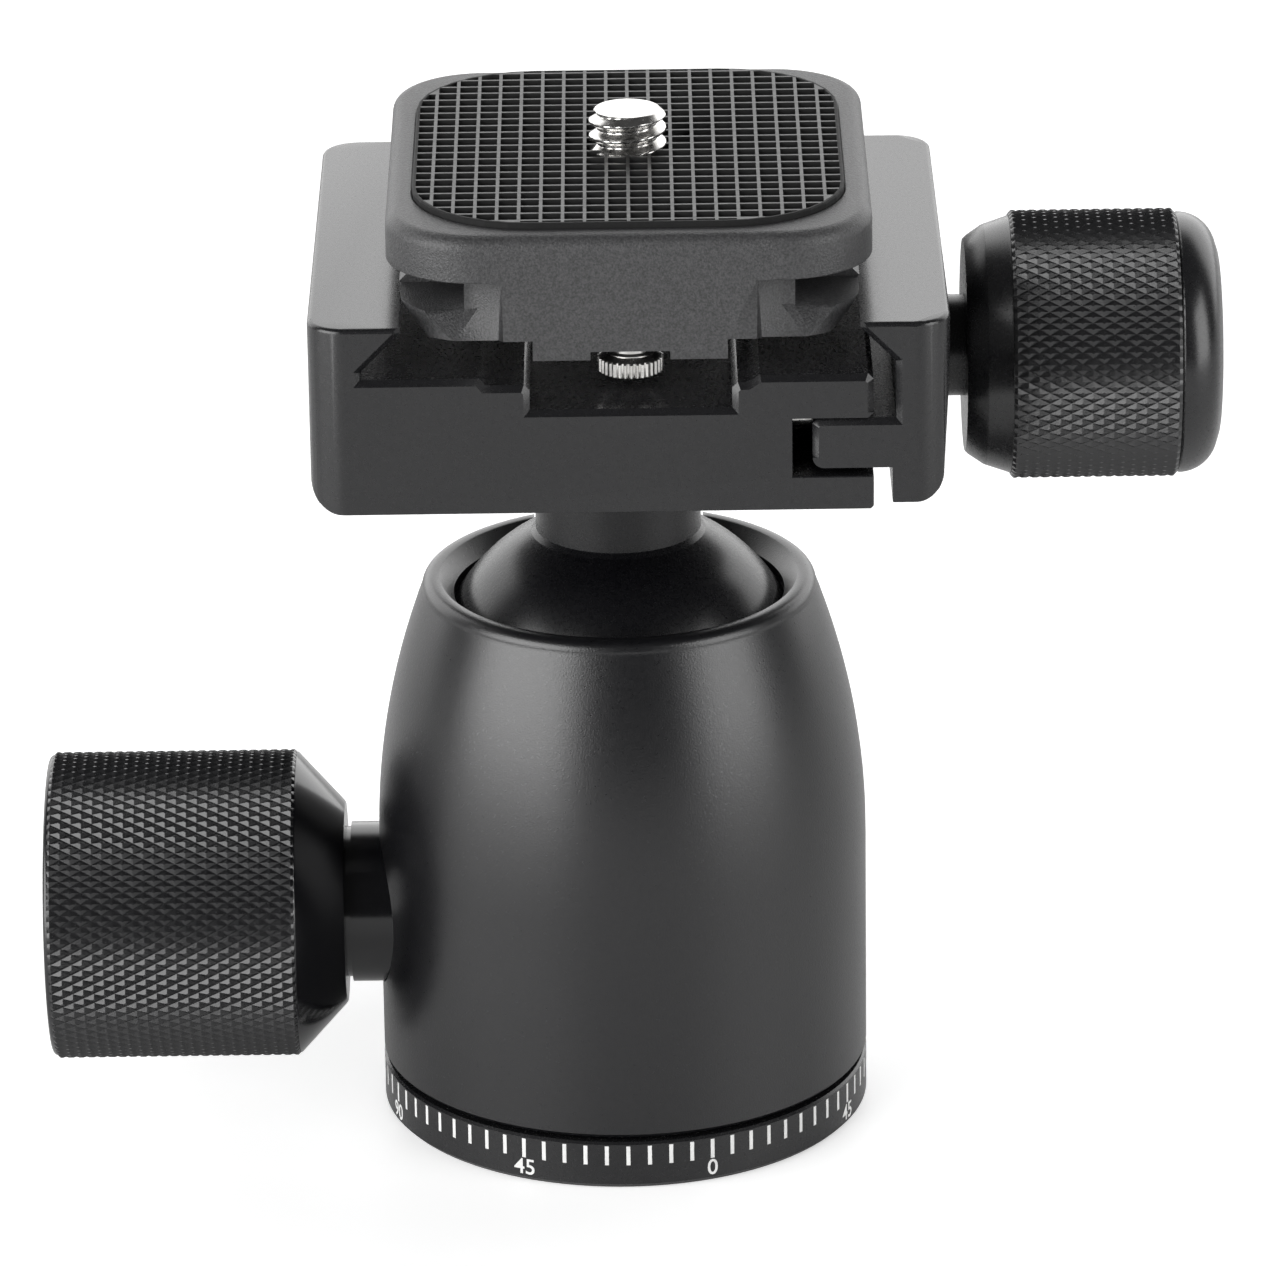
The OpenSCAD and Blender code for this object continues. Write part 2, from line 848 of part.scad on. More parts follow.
module clamp_fixing_screw() {
    shank_l = 9;
    color("silver")
        translate([0, 0, clamp_z + groove_h])
            difference() {
                union() {
                    translate([0, 0, -head_h])
                        cylinder(r = head_r, h = head_h - 0.4);
                    translate([0, 0, -groove_h - shank_l])
                        cylinder(r = 3 - fit, h = groove_h + shank_l - head_h + eps);
                }
                hex_socket(4, -2.6, 3);
            }
}

module clamp_jaw() {
    color("#26272a")
        translate([0, 0, clamp_z])
            difference() {
                intersection() {
                    prism_y(clamp_d)
                        jaw_profile();
                    clamp_block();
                }
                channel_edges(jaw_channel);
                translate([0, 0, screw_h]) {
                    bar_x(clamp_screw_r + fit, hook_x - 1, jaw_out_x + 1);
                    bar_x(clamp_neck_r + 0.8, jaw_out_x - jaw_draft, jaw_out_x + 1);
                }
                jaw_bores(guide_r + fit, spring_r + 2 * spring_wire, hook_x - 1, jaw_inner_x,
                    hook_x - 1, spring_end);
            }
}

module jaw_guide_pins() {
    color("silver")
        for (side = [-1, 1])
            translate([0, side * guide_y, clamp_z + guide_z])
                bar_x(guide_r, slot_x - pin_grip, hook_x + pin_reach);
}

// A point on the spring's wire: turns along the coil, angle round the wire
function coil_point(turn, a) =
    let (along = spring_start + spring_wire
            + (spring_end - spring_start - 2 * spring_wire) * turn / spring_turns,
        reach = spring_r + spring_wire * cos(a))
    [along + spring_wire * sin(a), reach * cos(360 * turn), reach * sin(360 * turn)];

module jaw_springs() {
    wire_sides = 6;
    turn_steps = 14;
    rings = spring_turns * turn_steps;
    wire_points = [for (i = [0 : rings], s = [0 : wire_sides - 1])
        coil_point(i / turn_steps, 360 * s / wire_sides)];
    wire_skin = [for (i = [0 : rings - 1], s = [0 : wire_sides - 1])
        let (t = (s + 1) % wire_sides, a = i * wire_sides, b = a + wire_sides)
        each [[a + s, a + t, b + t], [a + s, b + t, b + s]]];
    wire_ends = [[for (s = [wire_sides - 1 : -1 : 0]) s],
        [for (s = [0 : wire_sides - 1]) rings * wire_sides + s]];
    color("silver")
        for (side = [-1, 1])
            translate([0, side * spring_y, clamp_z + guide_z])
                polyhedron(wire_points, concat(wire_skin, wire_ends));
}

module clamp_screw() {
    color("silver")
        translate([0, 0, clamp_z + screw_h])
            turned_x([[screw_tip_x, 0], [screw_tip_x, clamp_screw_r - 0.6],
                [screw_tip_x + 0.6, clamp_screw_r], [knob_tail_x, clamp_screw_r], [knob_tail_x, 0]]);
}

module clamp_knob() {
    band_w = 1.7;
    color("#202124")
        translate([0, 0, clamp_z + screw_h])
            difference() {
                turned_x([[knob_neck_x + knob_washer_t, 0], [knob_neck_x + knob_washer_t, clamp_neck_r],
                    [knob_in_x, clamp_neck_r], [knob_in_x, clamp_knob_r - 2],
                    [knob_in_x + band_w, clamp_knob_r - 1.1], [knob_knurl_x - 0.3, clamp_knob_r - 0.4],
                    [knob_knurl_x, clamp_knob_r],
                    [knob_round_x, clamp_knob_r],
                    [knob_round_x + 0.35 * clamp_knob_out, clamp_knob_r - 0.6],
                    [knob_round_x + 0.7 * clamp_knob_out, clamp_knob_r - 1.7],
                    [knob_end_x - 0.25, clamp_knob_r - 3],
                    [knob_end_x, knob_face_r], [knob_end_x, 0]]);
                bar_x(clamp_screw_r, knob_neck_x - 1, knob_tail_x);
            }
}

module clamp_knob_washer() {
    color("gray")
        translate([knob_neck_x, 0, clamp_z + screw_h])
            rotate([0, 90, 0])
                ring(clamp_neck_r + 0.4, clamp_screw_r, knob_washer_t);
}

// ---------- plate ----------

// Cross-section of the plate's dovetail foot, in X and Z from its underside
module foot_profile() {
    slope_in = waist_h - ridge_h;
    polygon([[-foot_half, 0], [foot_half, 0], [ridge_half, ridge_h], [ridge_half - slope_in, waist_h + eps],
        [-ridge_half + slope_in, waist_h + eps], [-ridge_half, ridge_h]]);
}

// Waste at one corner of the foot: the sloping end face and the pocket under the slab
module foot_corner_waste() {
    far = plate_w;
    translate([block_w / 2, -plate_d / 2, 0])
        rotate([90, 0, 90])
            linear_extrude(far)
                polygon([[-1, -1], [foot_toe, -1], [foot_toe, 0], [foot_setback, ridge_h],
                    [foot_setback, waist_h], [-1, waist_h]]);
    translate([recess_half, -plate_d / 2 - 1, ridge_h - 0.1])
        cube([far, pocket_l + 1, waist_h - ridge_h + 0.1]);
}

module plate_body() {
    soft = 1.2;
    facet = recess_half - block_w / 2;
    color("#3c3d3f")
        translate([channel_x, 0, foot_z])
            difference() {
                union() {
                    difference() {
                        intersection() {
                            prism_y(plate_d)
                                foot_profile();
                            linear_extrude(slab_top)
                                rounded_rect(2 * ridge_half, plate_d, slab_corner - 0.5);
                        }
                        for (turn_x = [0, 1], turn_y = [0, 1])
                            mirror([turn_x, 0, 0])
                                mirror([0, turn_y, 0])
                                    foot_corner_waste();
                    }
                    for (turn_y = [0, 1])
                        mirror([0, turn_y, 0])
                            linear_extrude(waist_h + eps)
                                polygon([[-block_w / 2, -plate_d / 2], [block_w / 2, -plate_d / 2],
                                    [recess_half, -plate_d / 2 + facet], [recess_half, 0],
                                    [-recess_half, 0], [-recess_half, -plate_d / 2 + facet]]);
                    translate([0, 0, waist_h])
                        soft_slab(plate_w, plate_d, slab_t, slab_corner, soft);
                    translate([0, 0, -rib_h])
                        linear_extrude(rib_h + eps)
                            square([groove_w - 0.6, plate_d], center = true);
                }
                translate([0, 0, pad_foot])
                    linear_extrude(pad_t)
                        rounded_rect(plate_w - 2 * pad_inset, plate_d - 2 * pad_inset, pad_corner);
                translate([0, 0, -rib_h - 1])
                    cylinder(r = head_pocket_r, h = rib_h + 1 + head_pocket_h);
                translate([0, 0, pad_foot - clip_plate_t - fit])
                    cylinder(r = clip_plate_r + gap, h = pad_t);
                cylinder(r = shank_r + 0.1, h = slab_top);
                for (turn_y = [0, 1])
                    mirror([0, turn_y, 0])
                        translate([0, -stop_y, -rib_h - 1]) {
                            cylinder(r = notch_half, h = notch_h + 1);
                            translate([-notch_half, -plate_d, 0])
                                cube([2 * notch_half, plate_d, notch_h + 1]);
                            cylinder(r = stop_shank_r, h = rib_h + stop_grip + 1.5);
                        }
            }
}

module plate_pad() {
    color("#1c1c1d")
        translate([channel_x, 0, foot_z + pad_foot])
            linear_extrude(pad_t)
                difference() {
                    rounded_rect(plate_w - 2 * pad_inset, plate_d - 2 * pad_inset, pad_corner);
                    circle(camera_r + gap);
                }
}

module camera_screw() {
    tip = 0.5;
    thumb_z = head_pocket_h - thumb_h - 0.05;
    coin_w = 1.6;
    color("silver")
        translate([channel_x, 0, foot_z])
            difference() {
                union() {
                    translate([0, 0, thumb_z])
                        cylinder(r = thumb_r, h = thumb_h);
                    translate([0, 0, thumb_z])
                        cylinder(r = shank_r, h = pad_top + camera_l - thumb_z - tip);
                    translate([0, 0, pad_top])
                        cylinder(r = camera_r, h = camera_l - tip);
                    translate([0, 0, pad_top + camera_l - tip])
                        cylinder(r1 = camera_r, r2 = camera_r - tip, h = tip);
                }
                translate([-coin_w / 2, -thumb_r - 1, thumb_z - 1])
                    cube([coin_w, 2 * thumb_r + 2, 2.2]);
            }
}

module camera_screw_clip() {
    color("silver")
        translate([channel_x, 0, foot_z + pad_foot - clip_plate_t - 0.02])
            difference() {
                ring(clip_plate_r, shank_r, clip_plate_t);
                translate([-shank_r, 0, -1])
                    cube([2 * shank_r, clip_plate_r + 1, clip_plate_t + 2]);
            }
}

module stop_pins() {
    color("silver")
        for (side = [-1, 1])
            translate([channel_x, side * stop_y, foot_z - stop_foot]) {
                cylinder(r = stop_r, h = stop_head_h);
                cylinder(r = stop_neck_r, h = stop_foot - rib_h + notch_h);
                cylinder(r = stop_shank_r, h = stop_foot + stop_grip);
            }
}

base_plate();
pan_bearing_washer();
pan_wave_washer();
pan_retaining_ring();
housing();
pan_carrier();
wedge_floor();
lock_bush();
ball_liner();
pan_brake_shoe();
pan_lock_screw();
pan_lock_knob();
lock_knob();
lock_knob_collar();
lock_screw();
lock_knob_cap_screw();
wedge_slider();
pressure_block();
ball_cup();
ball();
clamp_fixing_screw();
clamp_body();
clamp_jaw();
jaw_guide_pins();
jaw_springs();
clamp_screw();
clamp_knob();
clamp_knob_washer();
plate_body();
plate_pad();
camera_screw();
camera_screw_clip();
stop_pins();
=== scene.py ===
import math

import bmesh
import bpy
from mathutils import Matrix, Vector


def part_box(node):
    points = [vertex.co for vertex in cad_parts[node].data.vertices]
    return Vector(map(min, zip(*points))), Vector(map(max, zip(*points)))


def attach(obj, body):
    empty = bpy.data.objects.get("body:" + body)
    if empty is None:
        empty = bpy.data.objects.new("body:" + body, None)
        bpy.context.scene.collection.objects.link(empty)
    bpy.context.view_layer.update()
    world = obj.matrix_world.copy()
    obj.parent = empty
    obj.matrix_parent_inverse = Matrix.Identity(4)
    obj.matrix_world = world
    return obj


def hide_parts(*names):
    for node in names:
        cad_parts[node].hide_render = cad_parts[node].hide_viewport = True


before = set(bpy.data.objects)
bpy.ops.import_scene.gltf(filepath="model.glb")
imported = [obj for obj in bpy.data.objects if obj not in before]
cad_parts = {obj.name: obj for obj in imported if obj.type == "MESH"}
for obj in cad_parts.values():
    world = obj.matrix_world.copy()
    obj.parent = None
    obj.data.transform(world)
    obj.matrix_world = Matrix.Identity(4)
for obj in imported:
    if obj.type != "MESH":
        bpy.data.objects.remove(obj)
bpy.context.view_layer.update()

MM = 0.001
TAU = 2 * math.pi
SAME_PLACE = 1e-8           # metres; points of a new mesh closer than this are one

# ---------------------------------------------------------------- sizes, in millimetres

SMOOTH = 28                 # turned pieces: faces that turn less than this are shaded as one, degrees
THREAD_SMOOTH = 35          # the same on threads

KNURL_DEPTH = 0.24          # depth of the diamond knurl's grooves
KNURL_TOP = 0.2             # share of a diamond that is flat on top
LOCK_DIAMOND = (0.955, 1.79)    # diamond size on the lock knob, around and along
CLAMP_DIAMOND = (0.98, 1.77)    # the same on the clamp knob
PAN_DIAMOND = (0.95, 1.7)   # the same on the pan lock knob
KNURL_CHAMFER = 0.25        # chamfer at each end of a knurl
ON_AXIS = 0.001             # radius that stands for a turned piece's axis

TICK_STEP = 5               # degrees between two marks of the base scale
TICK_W = 0.33               # width of a mark
TICK_H = 1.72               # height of a mark
RING_TOP = 4.2              # height of the base ring's top edge
TICK_TOP = 0.32             # distance from the ring's top edge to the marks
NUMERAL_STEP = 45           # degrees between two numerals
NUMERAL_H = 1.42            # height of a numeral
SCALE_ZERO = 20.4           # azimuth of the zero mark, right of the front
INK = 0.012                 # thickness of the printed marks
INK_ROOT = 0.1              # how deep they reach into the ring

BACKDROP = 2.0              # brightness of the backdrop behind the object
BACKDROP_SIDE = (0.2, 0.6)  # it fades in over this range of the sine of the angle behind the object
BACKDROP_TOP = (0.55, 0.85)     # and out over this range of the sine of the elevation
ROOM = 0.06                 # brightness of the dim room in front and above
FLOOR_LIFT = 0.5            # what is added to the floor where the camera sees it

GRID_PITCH = 1.76           # pitch of the pad's ribs
GRID_RIB = 0.28             # width of a rib
GRID_DEPTH = 0.4            # depth of the cells between the ribs
GRID_BORDER = 0.3           # plain border round the grid
PAD_CORNER = 9.8            # corner radius of the pad
SMALL_CELL = 0.12           # a cell cut down to less than this share of its area stays solid

CAMERA_PITCH = 25.4 / 20    # pitch of the quarter-inch camera screw
TRIPOD_PITCH = 25.4 / 16    # pitch of the 3/8 inch tripod socket
SOCKET_R = 4.76             # radius of the socket's bore
THREAD_SHARE = 0.54         # thread depth as a share of the pitch

EDGE = 0.12                 # width of the broken edges of the clamp and the plate
WELD = 0.06                 # points closer than this are joined before edges are broken
EDGE_ANGLE = 60             # an edge sharper than this many degrees is broken
EDGE_TURN = 25              # a run of edges goes on round a turn smaller than this
EDGE_RUN = 2.0              # the shortest run of edges that is broken
FLAT_TURN = 12              # faces that turn less than this many degrees are shaded as one

RIM_RISE = 0.85             # height of the rim's crest above the solid's flat land
RIM_FOOT = 1.4              # how far below that land the rim piece starts
RIM_SKIN = 0.012            # how far it stands out from the barrel's wall
RIM_CREST_R = 15.05         # inner radius of the crest
RIM_ROUND = 0.95            # rounding outside the crest
MOUTH_R = 13.85             # inner edge of the mouth's cone
MOUTH_FALL = 1.35           # fall of the cone from the crest to that edge
BARREL_ARC = 62.5           # radius of the arc that draws the barrel's wall in
BARREL_SHOULDER = 24.0      # height where that arc starts
NOTCH_INSET = 8.8           # half the drop notch's width is the ball's radius less this


def mm_box(node):
    """Lowest and highest corner of a CAD node, in millimetres."""
    low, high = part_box(node)
    return low / MM, high / MM


def centre(node):
    """Middle of a CAD node's box, in millimetres."""
    low, high = mm_box(node)
    return (low + high) / 2


# ---------------------------------------------------------------- mesh helpers

# faces of a box whose corners run through the signs of x, y and z in that order
BOX_FACES = [(0, 1, 3, 2), (4, 6, 7, 5), (0, 4, 5, 1), (2, 3, 7, 6), (0, 2, 6, 4), (1, 5, 7, 3)]


def make_object(name, verts, faces, material, smooth_angle=None):
    """A mesh object from points in millimetres."""
    mesh = bpy.data.meshes.new(name)
    mesh.from_pydata([Vector(v) * MM for v in verts], [], faces)
    mesh.validate()
    bm = bmesh.new()
    bm.from_mesh(mesh)
    bmesh.ops.remove_doubles(bm, verts=bm.verts, dist=SAME_PLACE)
    bmesh.ops.recalc_face_normals(bm, faces=bm.faces)
    bm.to_mesh(mesh)
    bm.free()
    obj = bpy.data.objects.new(name, mesh)
    bpy.context.scene.collection.objects.link(obj)
    obj.data.materials.append(material)
    shade(obj, smooth_angle)
    return obj


def shade(obj, smooth_angle):
    """Smooth shading with edges sharper than smooth_angle (degrees) kept sharp."""
    if smooth_angle is None:
        return
    for polygon in obj.data.polygons:
        polygon.use_smooth = True
    obj.data.set_sharp_from_angle(angle=math.radians(smooth_angle))


def place(point, origin, axis):
    """A point given as (along, across, up) about an axis, put in the part's frame."""
    along, across, up = point
    axis = Vector(axis).normalized()
    side = Vector((0, 0, 1)).cross(axis)
    if side.length < 0.5:
        side = Vector((1, 0, 0))
    side.normalize()
    third = axis.cross(side)
    return Vector(origin) + axis * along + side * across + third * up


def lathe(profile, origin, axis, steps=160):
    """Points and faces of a turned shape from its outline of (along, radius)."""
    verts, faces = [], []
    rings = len(profile)
    for i in range(steps):
        a = TAU * i / steps
        for along, radius in profile:
            verts.append(place((along, radius * math.cos(a), radius * math.sin(a)), origin, axis))
    for i in range(steps):
        for k in range(rings - 1):
            a, b = i * rings + k, ((i + 1) % steps) * rings + k
            faces.append((a, b, b + 1, a + 1))
    return verts, faces


def add_shell(parts, verts, faces):
    """Adds one shell to a list of points and faces."""
    base = len(parts[0])
    parts[0].extend(verts)
    parts[1].extend([tuple(base + i for i in face) for face in faces])


def arc(cx, cr, radius, a0, a1, steps=8):
    """Points (along, radius) on an arc, angles in degrees, 0 along the axis and 90 outwards."""
    return [(cx + radius * math.cos(math.radians(a0 + (a1 - a0) * k / steps)),
             cr + radius * math.sin(math.radians(a0 + (a1 - a0) * k / steps)))
            for k in range(steps + 1)]


def knurl(x0, x1, radius, core, diamond, origin, axis):
    """Diamond knurl between x0 and x1 along an axis: pyramids with flat tops on a closed sleeve.

    Places on it are counted in half diamonds: i around, j along.
    """
    around = round(TAU * radius / diamond[0])
    last = max(2, round(2 * (x1 - x0) / diamond[1]))
    step_a = math.pi / around
    step_x = (x1 - x0) / last
    valley, under = radius - KNURL_DEPTH, 0.02
    verts, faces, index = [], [], {}

    def point(key, a, x, r):
        """Number of the point with this key, which is made when the key is new."""
        if key not in index:
            index[key] = len(verts)
            verts.append(place((x, r * math.cos(a), r * math.sin(a)), origin, axis))
        return index[key]

    def corner(i, j):
        """A point in the valley between diamonds."""
        i %= 2 * around
        return point(("c", i, j), i * step_a, x0 + j * step_x, valley)

    def top(i, j, di, dj):
        """A point of a diamond's flat top, on the side given by di and dj."""
        i %= 2 * around
        return point(("t", i, j, di, dj), (i + KNURL_TOP * di) * step_a,
                     x0 + (j + KNURL_TOP * dj) * step_x, radius)

    rim = {0: [], last: []}
    for j in range(last + 1):
        for i in range(2 * around):
            if (i + j) % 2:
                continue
            ring = [(1, 0), (0, 1), (-1, 0), (0, -1)]
            if j == 0:
                ring = ring[:3]
            if j == last:
                ring = [(-1, 0), (0, -1), (1, 0)]
            tops = [top(i, j, *d) for d in ring]
            outs = [corner(i + d[0], j + d[1]) for d in ring]
            faces.append(tuple(tops))
            closed = len(ring) == 4
            for k in range(len(ring) if closed else len(ring) - 1):
                n = (k + 1) % len(ring)
                faces.append((tops[k], outs[k], outs[n], tops[n]))
            if not closed:
                west, east = (2, 0) if j == 0 else (0, 2)
                rim[j].extend([(outs[west], i - 1), (tops[west], i - KNURL_TOP),
                               (tops[east], i + KNURL_TOP)])
    for j, sign in ((0, -1), (last, 1)):
        edge = rim[j]
        x_rim = x0 + j * step_x + sign * KNURL_CHAMFER
        out, inner = [], []
        for k, (_, half_diamonds) in enumerate(edge):
            a = half_diamonds * step_a
            out.append(point(("o", j, k), a, x_rim, valley - under))
            inner.append(point(("n", j, k), a, x_rim, core))
        count = len(edge)
        for k in range(count):
            n = (k + 1) % count
            faces.append((edge[k][0], edge[n][0], out[n], out[k]))
            faces.append((out[k], out[n], inner[n], inner[k]))
        rim[j] = inner
    count = len(rim[0])
    for k in range(count):
        n = (k + 1) % count
        faces.append((rim[0][k], rim[0][n], rim[last][n], rim[last][k]))
    return verts, faces


def thread(z0, z1, crest, pitch, centre_xy, tip):
    """Outside thread from z0 to z1 with a flat end and a chamfer of height tip."""
    steps, rows_per_pitch = 72, 20
    crest_share, flank_share, tip_slope = 0.16, 0.68, 1.1
    depth = THREAD_SHARE * pitch
    rows = int(round((z1 - z0) / pitch * rows_per_pitch))
    verts, faces = [], []
    for row in range(rows + 1):
        z = z0 + (z1 - z0) * row / rows
        limit = crest - max(0.0, z - (z1 - tip)) * tip_slope
        for i in range(steps):
            phase = ((z - z0) / pitch - i / steps) % 1.0
            flank = abs(phase - 0.5) * 2
            share = min(1.0, max(0.0, (flank - crest_share) / flank_share))
            r = min(crest - depth * share, limit)
            a = TAU * i / steps
            verts.append((centre_xy[0] + r * math.cos(a), centre_xy[1] + r * math.sin(a), z))
    for row in range(rows):
        for i in range(steps):
            n = (i + 1) % steps
            a, b = row * steps, (row + 1) * steps
            faces.append((a + i, a + n, b + n, b + i))
    faces.append(tuple(range(steps - 1, -1, -1)))
    faces.append(tuple(rows * steps + i for i in range(steps)))
    return verts, faces


def inner_thread(z0, z1, wall, pitch):
    """Ridge of an inside thread: one closed helical strip that thins out at both ends."""
    steps, sunk, thinnest = 48, 0.02, 0.02
    root, tip, run_out = 0.42 * pitch, 0.06 * pitch, 0.3 * steps
    count = int((z1 - z0) / pitch * steps)
    verts, faces = [], []
    for k in range(count + 1):
        a = TAU * k / steps
        z = z0 + pitch * k / steps
        taper = min(1.0, k / run_out, (count - k) / run_out)
        ridge = wall - THREAD_SHARE * pitch * max(thinnest, taper)
        for radius, dz in ((wall + sunk, -root), (ridge, -tip), (ridge, tip), (wall + sunk, root)):
            verts.append((radius * math.cos(a), radius * math.sin(a), z + dz))
    for k in range(count):
        a, b = 4 * k, 4 * (k + 1)
        for s in range(4):
            n = (s + 1) % 4
            faces.append((a + s, a + n, b + n, b + s))
    faces.append((3, 2, 1, 0))
    faces.append(tuple(4 * count + s for s in range(4)))
    return verts, faces


def edge_runs(edges):
    """Lists of edges that follow one another without a sharp turn."""
    waiting, runs = set(edges), []
    limit = -math.cos(math.radians(EDGE_TURN))
    while waiting:
        run = [waiting.pop()]
        for edge in run:
            for vert in edge.verts:
                back = (edge.other_vert(vert).co - vert.co).normalized()
                for other in vert.link_edges:
                    ahead = (other.other_vert(vert).co - vert.co).normalized()
                    if other in waiting and back.dot(ahead) < limit:
                        waiting.remove(other)
                        run.append(other)
        runs.append(run)
    return runs


def soft_copy(node, test):
    """A copy of a CAD node with its sharp outer edges broken where the test says so."""
    same_place, same_plane = 2e-7, math.radians(0.6)
    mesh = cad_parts[node].data.copy()
    bm = bmesh.new()
    bm.from_mesh(mesh)
    bmesh.ops.remove_doubles(bm, verts=bm.verts, dist=same_place)
    bmesh.ops.dissolve_limit(bm, angle_limit=same_plane, verts=bm.verts, edges=bm.edges)
    bmesh.ops.remove_doubles(bm, verts=bm.verts, dist=WELD * MM)
    sharp = [e for e in bm.edges if len(e.link_faces) == 2 and e.is_convex
             and e.calc_face_angle(0) > math.radians(EDGE_ANGLE)]
    chosen = [e for run in edge_runs(sharp)
              if sum(e.calc_length() for e in run) > EDGE_RUN * MM
              and all(test(v.co / MM) for e in run for v in e.verts) for e in run]
    bmesh.ops.bevel(bm, geom=chosen, offset=EDGE * MM, offset_type="OFFSET", segments=2,
                    profile=0.5, affect="EDGES", clamp_overlap=False)
    bmesh.ops.delete(bm, geom=[e for e in bm.edges if e.is_wire], context="EDGES")
    bmesh.ops.triangulate(bm, faces=[f for f in bm.faces if len(f.verts) > 4])
    bm.to_mesh(mesh)
    bm.free()
    obj = bpy.data.objects.new(node + "_soft", mesh)
    bpy.context.scene.collection.objects.link(obj)
    shade(obj, FLAT_TURN)
    return obj


def box_object(middle, size):
    """A box given by its middle and its three sizes."""
    verts = [tuple(middle[k] + sign[k] * size[k] / 2 for k in range(3))
             for sign in ((sx, sy, sz) for sx in (-1, 1) for sy in (-1, 1) for sz in (-1, 1))]
    return make_object("cutter", verts, BOX_FACES, STEEL)


def carve(obj, cutter):
    """Cuts one mesh from another and removes the cutter."""
    modifier = obj.modifiers.new("cut", "BOOLEAN")
    modifier.operation = "DIFFERENCE"
    modifier.object = cutter
    bpy.context.view_layer.update()
    cut = bpy.data.meshes.new_from_object(
        obj.evaluated_get(bpy.context.evaluated_depsgraph_get()))
    obj.modifiers.clear()
    obj.data = cut
    bpy.data.objects.remove(cutter)
    shade(obj, SMOOTH)


def finish_where(piece, material, test):
    """Gives the faces whose centre passes the test a material of their own."""
    index = len(piece.data.materials)
    piece.data.materials.append(material)
    for polygon in piece.data.polygons:
        if test(polygon.center / MM):
            polygon.material_index = index


# ---------------------------------------------------------------- materials

def start_material(name):
    """A new material with its nodes, its links and its main shader."""
    material = bpy.data.materials.new(name)
    material.use_nodes = True
    nodes, links = material.node_tree.nodes, material.node_tree.links
    return material, nodes, links, nodes["Principled BSDF"]


def noise(nodes, links, scale, detail):
    """Noise fixed to the piece, its scale in cells per metre."""
    node = nodes.new("ShaderNodeTexNoise")
    node.inputs["Scale"].default_value = scale
    node.inputs["Detail"].default_value = detail
    node.inputs["Roughness"].default_value = 0.55
    links.new(nodes.new("ShaderNodeTexCoord").outputs["Object"], node.inputs["Vector"])
    return node.outputs["Fac"]


def spread(nodes, links, value, low, high):
    """A value from 0.3..0.7 spread over low..high."""
    node = nodes.new("ShaderNodeMapRange")
    node.inputs["From Min"].default_value = 0.3
    node.inputs["From Max"].default_value = 0.7
    node.inputs["To Min"].default_value = low
    node.inputs["To Max"].default_value = high
    links.new(value, node.inputs["Value"])
    return node.outputs["Result"]


def two_tone(nodes, links, value, dark, light):
    """A colour between two, by a value."""
    node = nodes.new("ShaderNodeMix")
    node.data_type = "RGBA"
    node.inputs["A"].default_value = (*dark, 1)
    node.inputs["B"].default_value = (*light, 1)
    links.new(spread(nodes, links, value, 0, 1), node.inputs["Factor"])
    return node.outputs["Result"]


def bump(nodes, links, value, strength, distance):
    """Relief of a depth in millimetres, by a value."""
    node = nodes.new("ShaderNodeBump")
    node.inputs["Strength"].default_value = strength
    node.inputs["Distance"].default_value = distance * MM
    links.new(value, node.inputs["Height"])
    return node.outputs["Normal"]


def uneven(name, colours, gloss, scales, detail, relief):
    """A material whose colour, roughness and relief vary a little, each by a noise of its own scale.

    Gloss is the range of the roughness, and relief is the bump's strength and depth.
    """
    material, nodes, links, bsdf = start_material(name)
    colour_noise, rough_noise = (noise(nodes, links, scale, detail) for scale in scales[:2])
    links.new(two_tone(nodes, links, colour_noise, *colours), bsdf.inputs["Base Color"])
    links.new(spread(nodes, links, rough_noise, *gloss), bsdf.inputs["Roughness"])
    links.new(bump(nodes, links, noise(nodes, links, scales[2], 2), *relief), bsdf.inputs["Normal"])
    return material, bsdf


def metal_black(name, dark, light, rough, grain, grain_depth, level=0.7, speckle=2400):
    """Black anodised metal: a dark coat with fine grain and slightly uneven gloss."""
    material, bsdf = uneven(name, (dark, light), gloss=(rough - 0.03, rough + 0.03),
                            scales=(speckle, 3600, grain), detail=4, relief=(0.35, grain_depth))
    bsdf.inputs["Specular IOR Level"].default_value = level
    return material


def bright_metal(name, colour, rough, grain):
    """Turned or rolled bright metal with fine grain."""
    dark = tuple(0.82 * c for c in colour)
    material, bsdf = uneven(name, (dark, colour), gloss=(rough - 0.06, rough + 0.08),
                            scales=(1500, 2600, grain), detail=3, relief=(0.25, 0.01))
    bsdf.inputs["Metallic"].default_value = 1.0
    return material


def plastic(name, colour, rough):
    """Moulded plastic, rubber or print."""
    light = tuple(min(1, 1.15 * c) for c in colour)
    return uneven(name, (colour, light), gloss=(rough - 0.05, rough + 0.05),
                  scales=(700, 1800, 9000), detail=3, relief=(0.2, 0.01))[0]


ANODISED = metal_black("anodised_satin", (0.007, 0.007, 0.008), (0.011, 0.011, 0.012),
                       rough=0.26, grain=14000, grain_depth=0.01)
HOUSING = metal_black("anodised_housing", (0.004, 0.004, 0.005), (0.007, 0.007, 0.008),
                      rough=0.3, grain=7000, grain_depth=0.05, level=0.8)
KNOB = metal_black("anodised_knob", (0.01, 0.01, 0.011), (0.018, 0.018, 0.019),
                   rough=0.25, grain=9000, grain_depth=0.008)
KNOB_END = metal_black("anodised_turned", (0.002, 0.002, 0.003), (0.004, 0.004, 0.005),
                       rough=0.15, grain=12000, grain_depth=0.004)
BALL = metal_black("ball_coat", (0.003, 0.003, 0.004), (0.006, 0.006, 0.007),
                   rough=0.28, grain=20000, grain_depth=0.004, level=0.5)
PLATE = metal_black("plate_blasted", (0.014, 0.014, 0.015), (0.07, 0.07, 0.072),
                    rough=0.45, grain=6500, grain_depth=0.2, speckle=5500)
# Pad rubber in two copies of one material. The near-black one is the rubber's own colour on the CAD node,
# and painted shade on the pad's cell floors, border and sides. The lighter, glossier rib copy is partly real
# gloss and partly painted sheen on the rib tops.
PAD_RUBBER_AND_PAINTED_SHADE = plastic("pad_rubber", (0.003, 0.003, 0.003), 0.72)
